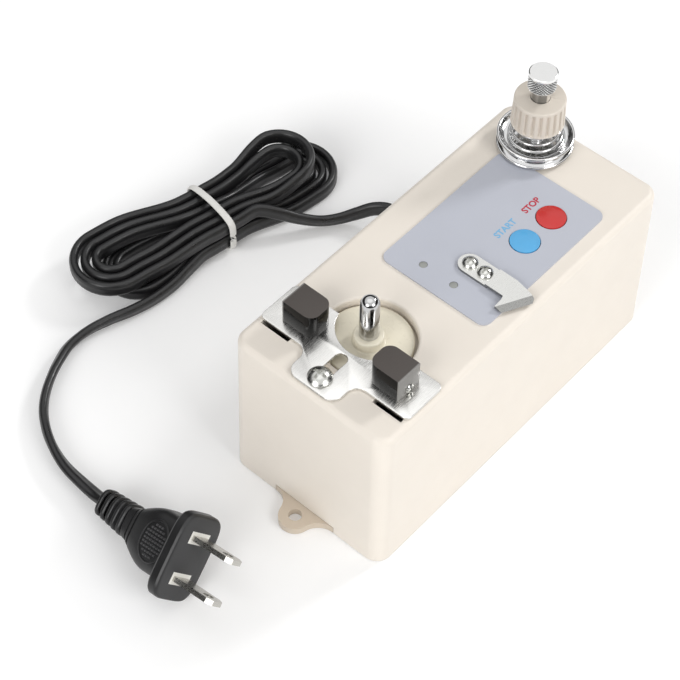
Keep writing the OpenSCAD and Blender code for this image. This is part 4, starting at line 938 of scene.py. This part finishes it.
def knurled_steel(steel, polished=0.18, dull=0.5):
    """Bright steel whose knurl grooves are dull and painted dark as painted shade, and whose polished
    neck is painted dark with light vertical streaks as painted reflection.
    """
    finish = Finish("knurled_steel", polished, metallic=1.0)
    finish.colour(finish.noise(0.4 * MM), shade(steel, 0.95), steel)
    above = finish.along("Z", (KNURL_LOW - ZONE_BLUR) * MM, (KNURL_LOW + ZONE_BLUR) * MM)
    below = finish.along("Z", (KNURL_HIGH + ZONE_BLUR) * MM, (KNURL_HIGH - ZONE_BLUR) * MM)
    zone = finish.both(above, below)
    out = finish.from_axis(TENSION_AT[0] * MM, TENSION_AT[1] * MM)
    # Painted shade: the knurl's grooves painted nearly black
    groove_shade_mask = finish.spread(out, 1, 0, (HEAD_R - KNURL_DEPTH) * MM, (HEAD_R - CREST_CLEAR) * MM)
    finish.layer(finish.both(zone, groove_shade_mask), shade(steel, 0.14))
    # Painted reflection: the polished neck painted dark, with light vertical streaks painted over it
    neck = finish.along("Z", HEAD_BOTTOM * MM, (HEAD_BOTTOM - NECK_BLUR) * MM)
    finish.layer(neck, shade(steel, 0.35))
    neck_reflection_streaks = finish.noise(2.4 * MM, detail=0, stretch=(1, 1, 50))
    finish.layer(finish.both(neck, finish.spread(neck_reflection_streaks, 0, 1, 0.46, 0.56)), steel)
    finish.rough(zone, polished, dull, 0, 1)
    return finish.material


def knurled_head():
    """The post's steel head: a plain neck, a fine diamond knurl and a plain band round the top."""
    columns = KNURL_ROWS * KNURL_GRID
    pitch = 2 * math.pi * HEAD_R / columns
    count = round((KNURL_HIGH - KNURL_LOW) / pitch)
    rows = [(0, NECK_LOW), (NECK_R, NECK_LOW), (NECK_R, HEAD_BOTTOM - NECK_FILLET)]
    rows += [(NECK_R + NECK_FILLET, HEAD_BOTTOM), (HEAD_R - HEAD_INSET, HEAD_BOTTOM)]
    rows += [(HEAD_R, KNURL_LOW + pitch * k) for k in range(count)]
    rows += [(HEAD_R, KNURL_HIGH), (HEAD_R, HEAD_TOP - HEAD_BEVEL)]
    rows += [(HEAD_R - HEAD_ROUND, HEAD_TOP - HEAD_BEVEL / 3)]
    rows += [(HEAD_R - HEAD_INSET, HEAD_TOP), (0, HEAD_TOP)]

    def knurl(r, a, z):
        if r < HEAD_R - HEAD_INSET - HAIR or z < KNURL_LOW or z > KNURL_HIGH - HAIR:
            return r
        turns = [KNURL_ROWS / (2 * math.pi) * (a + way * (z - KNURL_LOW) / HEAD_R) for way in (-1, 1)]
        groove = max(1 - 2 * abs(turn - round(turn)) for turn in turns)
        return min(r, HEAD_R - KNURL_DEPTH * groove)

    shape = spun(rows, columns)
    inner = (HEAD_R - HEAD_INSET) * MM
    bmesh.ops.poke(shape, faces=[f for f in shape.faces if f.calc_center_median().xy.length > inner])
    reshape(shape, knurl)
    bmesh.ops.translate(shape, vec=mm(*TENSION_AT, 0), verts=shape.verts)
    head = piece_from(shape, "knurled_cap", "body", "bright_steel", angle=20)
    head.data.materials[0] = knurled_steel(linear(236, 236, 235))
    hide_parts("knurled_head")


# Bobbin pin and seat

PIN_BOX, SEAT_BOX = extent("spindle_pin"), extent("bobbin_seat")
SPINDLE_AT = ((SEAT_BOX[0].x + SEAT_BOX[1].x) / 2, (SEAT_BOX[0].y + SEAT_BOX[1].y) / 2)
PIN_R, PIN_ROOT_R = (PIN_BOX[1].x - PIN_BOX[0].x) / 2, 2.5
SEAT_R, COLLAR_R, HUB_R, SHAFT_R = (SEAT_BOX[1].x - SEAT_BOX[0].x) / 2, 4.55, 5.0, 1.15
SEAT_TOP, SEAT_LOW = 56.0, 54.0
PIN_FOOT, PIN_SIDES, SEAT_SIDES = 0.15, 64, 96
# Insets and depths of the pin's bevel, then radii and depths of its dome
PIN_BEVEL = (0.08, 2.1), (0.55, 1.1), (0.75, 0.85)
PIN_DOME = (1.5, 0.3), (0.9, 0.08), (0.4, 0), (0, 0)
SEAT_UNDER, SEAT_ROUND, COLLAR_ROUND = 0.3, 0.5, 0.7
PIN_SOCKET, SOCKET_FLARE, FLARE_DEPTH = PIN_ROOT_R + 0.01, 0.3, 0.2


def bobbin_pin():
    """The bright pin, with a bevel and a low dome at its tip."""
    top, collar = PIN_BOX[1].z, SEAT_BOX[1].z
    rows = [(0, PIN_BOX[0].z), (PIN_ROOT_R, PIN_BOX[0].z), (PIN_ROOT_R, collar)]
    rows += [(PIN_R - PIN_FOOT, collar), (PIN_R, collar + PIN_FOOT)]
    rows += [(PIN_R - inset, top - depth) for inset, depth in PIN_BEVEL]
    rows += [(radius, top - depth) for radius, depth in PIN_DOME]
    shape = spun(rows, PIN_SIDES)
    bmesh.ops.translate(shape, vec=mm(*SPINDLE_AT, 0), verts=shape.verts)
    pin = piece_from(shape, "domed_pin", "spindle", "bright_steel", angle=25)
    pin.data.materials[0] = turned_steel("turned_pin", linear(196, 196, 196), 0.14)
    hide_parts("spindle_pin")


def bobbin_seat():
    """The ivory seat: a flat disc with a round-edged collar above and a bored hub below."""
    top, bottom = SEAT_BOX[1].z, SEAT_BOX[0].z
    shelf = PIN_BOX[0].z
    rows = [(SHAFT_R, bottom), (HUB_R, bottom), (HUB_R, SEAT_LOW)]
    rows += arc(SEAT_R - SEAT_UNDER, SEAT_LOW + SEAT_UNDER, SEAT_UNDER, -90, 0, 3)
    rows += arc(SEAT_R - SEAT_ROUND, SEAT_TOP - SEAT_ROUND, SEAT_ROUND, 0, 90, 4)
    rows += arc(COLLAR_R + SEAT_ROUND, SEAT_TOP + SEAT_ROUND, SEAT_ROUND, 270, 180, 4)
    rows += arc(COLLAR_R - COLLAR_ROUND, top - COLLAR_ROUND, COLLAR_ROUND, 0, 90)
    rows += [(PIN_ROOT_R + SOCKET_FLARE, top), (PIN_SOCKET, top - FLARE_DEPTH)]
    rows += [(PIN_SOCKET, shelf), (SHAFT_R, shelf)]
    shape = spun(rows, SEAT_SIDES, closed=True)
    bmesh.ops.translate(shape, vec=mm(*SPINDLE_AT, 0), verts=shape.verts)
    seat = piece_from(shape, "collared_seat", "spindle", "ivory_plastic", angle=30)
    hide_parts("bobbin_seat")


# Legends beside the buttons

PANEL_TOP = extent("control_panel")[1].z
LEGEND_HEIGHT, CAPITAL_SHARE, STROKE_SPREAD, INK_THICK = 2.1, 0.7, 0.09, 0.01


def legend(word, x, y, colour):
    """A printed word along the panel, read from the body's right side."""
    data = bpy.data.curves.new("legend_" + word.lower(), "FONT")
    data.body = word
    data.size = LEGEND_HEIGHT / CAPITAL_SHARE * MM
    data.align_x, data.align_y = "CENTER", "CENTER"
    data.offset = STROKE_SPREAD * MM
    data.extrude = INK_THICK * MM
    written = bpy.data.objects.new("legend_text", data)
    scene.collection.objects.link(written)
    mesh = meshed(written)
    bpy.data.objects.remove(written)
    mesh.transform(Matrix.Translation(mm(x, y, PANEL_TOP + INK_THICK)) @ turned("Z", 90))
    piece = bpy.data.objects.new("legend_" + word.lower(), mesh)
    scene.collection.objects.link(piece)
    finish = Finish("print_" + word.lower(), 0.5)
    finish.colour(finish.noise(0.3 * MM), shade(colour, 0.94), shade(colour, 1.05))
    mesh.materials.clear()
    mesh.materials.append(finish.material)
    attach(piece, "body")


# Stage, in metres

WHITE, PAPER, CLOTH = (1, 1, 1, 1), (0.97, 0.97, 0.97, 1), (0.02, 0.02, 0.02, 1)
FLOOR_HALF, FLOOR_AT, FLOOR_GLOW = 6, -0.0002, 1.4
# Distances from the middle of the floor, and the share of glow there
GLOW_NEAR, GLOW_FAR = (0.1, 0.1), (0.16, 0.42)
FLAG_R, FLAG_HEIGHT, FLAG_AT, FLAG_SIDES, CLOTH_ROUGHNESS = 1.3, 0.9, 0.51, 64, 0.9
SKY_FOR_LIGHT, SKY_SEEN = 0.38, 1.0
LAMP_AIM = Vector((-0.03, 0, 0.03))
# Place, size and watts of each lamp
LAMPS = {
    "key_lamp": ((0.85, -0.05, 0.58), 0.55, 3.7),
    "back_lamp": ((0.2, 0.8, 0.6), 0.2, 3.2),
    "top_lamp": ((-0.1, 0.0, 1.0), 0.9, 1.1),
    "front_lamp": ((0.05, -0.9, 0.55), 0.6, 4.0),
}


def stage_piece(shape, name, material):
    """Turns a bmesh into an object of the stage."""
    mesh = bpy.data.meshes.new(name)
    shape.to_mesh(mesh)
    shape.free()
    mesh.materials.append(material)
    piece = bpy.data.objects.new(name, mesh)
    scene.collection.objects.link(piece)
    return piece


def white_ground():
    """White floor that keeps the shadow and shows as the background in the lens and in metal."""
    material = bpy.data.materials.new("white_floor")
    material.use_nodes = True
    ground = Shading(material.node_tree)
    ground.tree.nodes.clear()
    middle_out = ground.node("ShaderNodeTexCoord").outputs["Object"]
    distance = ground.reckon("ShaderNodeVectorMath", "LENGTH", middle_out)
    ramp = ground.node("ShaderNodeMapRange", Value=distance, From_Min=GLOW_NEAR[0], To_Min=GLOW_NEAR[1],
                       From_Max=GLOW_FAR[0], To_Max=GLOW_FAR[1])
    ramp.interpolation_type = "SMOOTHSTEP"
    paper = ground.node("ShaderNodeBsdfDiffuse", Color=PAPER)
    glow = ground.node("ShaderNodeEmission", Color=WHITE, Strength=FLOOR_GLOW)
    mix = ground.node("ShaderNodeMixShader", Fac=ground.both(ground.seen(), ramp.outputs["Result"]))
    ground.put(paper.outputs["BSDF"], mix.inputs[1])
    ground.put(glow.outputs["Emission"], mix.inputs[2])
    ground.node("ShaderNodeOutputMaterial", Surface=mix.outputs["Shader"])
    return material


def lamp(name, at, size, watts):
    """A round soft lamp that looks at the object."""
    data = bpy.data.lights.new(name, "AREA")
    data.shape = "DISK"
    data.size = size
    data.energy = watts
    light = bpy.data.objects.new(name, data)
    light.location = at
    light.rotation_euler = (LAMP_AIM - Vector(at)).to_track_quat("-Z", "Y").to_euler()
    scene.collection.objects.link(light)


def reflected_flags():
    """A dark ring of cloth that only reflections see, so that bright metal shows its shape."""
    shape = bmesh.new()
    bmesh.ops.create_cone(shape, cap_ends=False, segments=FLAG_SIDES, radius1=FLAG_R, radius2=FLAG_R,
                          depth=FLAG_HEIGHT)
    bmesh.ops.translate(shape, verts=shape.verts, vec=(0, 0, FLAG_AT))
    cloth = Finish("flag_cloth", CLOTH_ROUGHNESS, Base_Color=CLOTH)
    flags = stage_piece(shape, "flag_cloth", cloth.material)
    flags.visible_camera = False
    flags.visible_diffuse = False
    flags.visible_shadow = False
    flags.visible_transmission = False


def studio():
    """Floor, flags, pale sky and four soft lamps."""
    shape = bmesh.new()
    bmesh.ops.create_grid(shape, x_segments=1, y_segments=1, size=FLOOR_HALF)
    floor = stage_piece(shape, "floor", white_ground())
    floor.location.z = FLOOR_AT
    reflected_flags()
    world = bpy.data.worlds.new("studio_world")
    scene.world = world
    world.use_nodes = True
    sky = Shading(world.node_tree)
    background = sky.tree.nodes["Background"]
    sky.put(WHITE, background.inputs["Color"])
    sky.put(sky.spread(sky.seen(), SKY_FOR_LIGHT, SKY_SEEN, 0, 1), background.inputs["Strength"])
    for name, (at, size, watts) in LAMPS.items():
        lamp(name, at, size, watts)


photo_camera()
dress_solids()
cord, cord_path = lay_cord()
tie = cord_tie()
plug, pads = mains_plug()
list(map(nodes.get, ("strain_relief", "plug_blades", "plug_insulators")))
tension_spring()
fluted_knob()
knurled_head()
bobbin_pin()
bobbin_seat()
softened("emitter_block", "left_block", "sensor_carriage", "smoke_plastic", width=0.25)
softened("receiver_block", "right_block", "sensor_carriage", "smoke_plastic", width=0.25)
softened("sensor_plate", "slotted_plate", "sensor_carriage", "plate_steel", width=0.12)
legend("STOP", 3.6, 31.8, linear(184, 44, 62))
legend("START", 3.6, 19.6, linear(120, 178, 216))
studio()
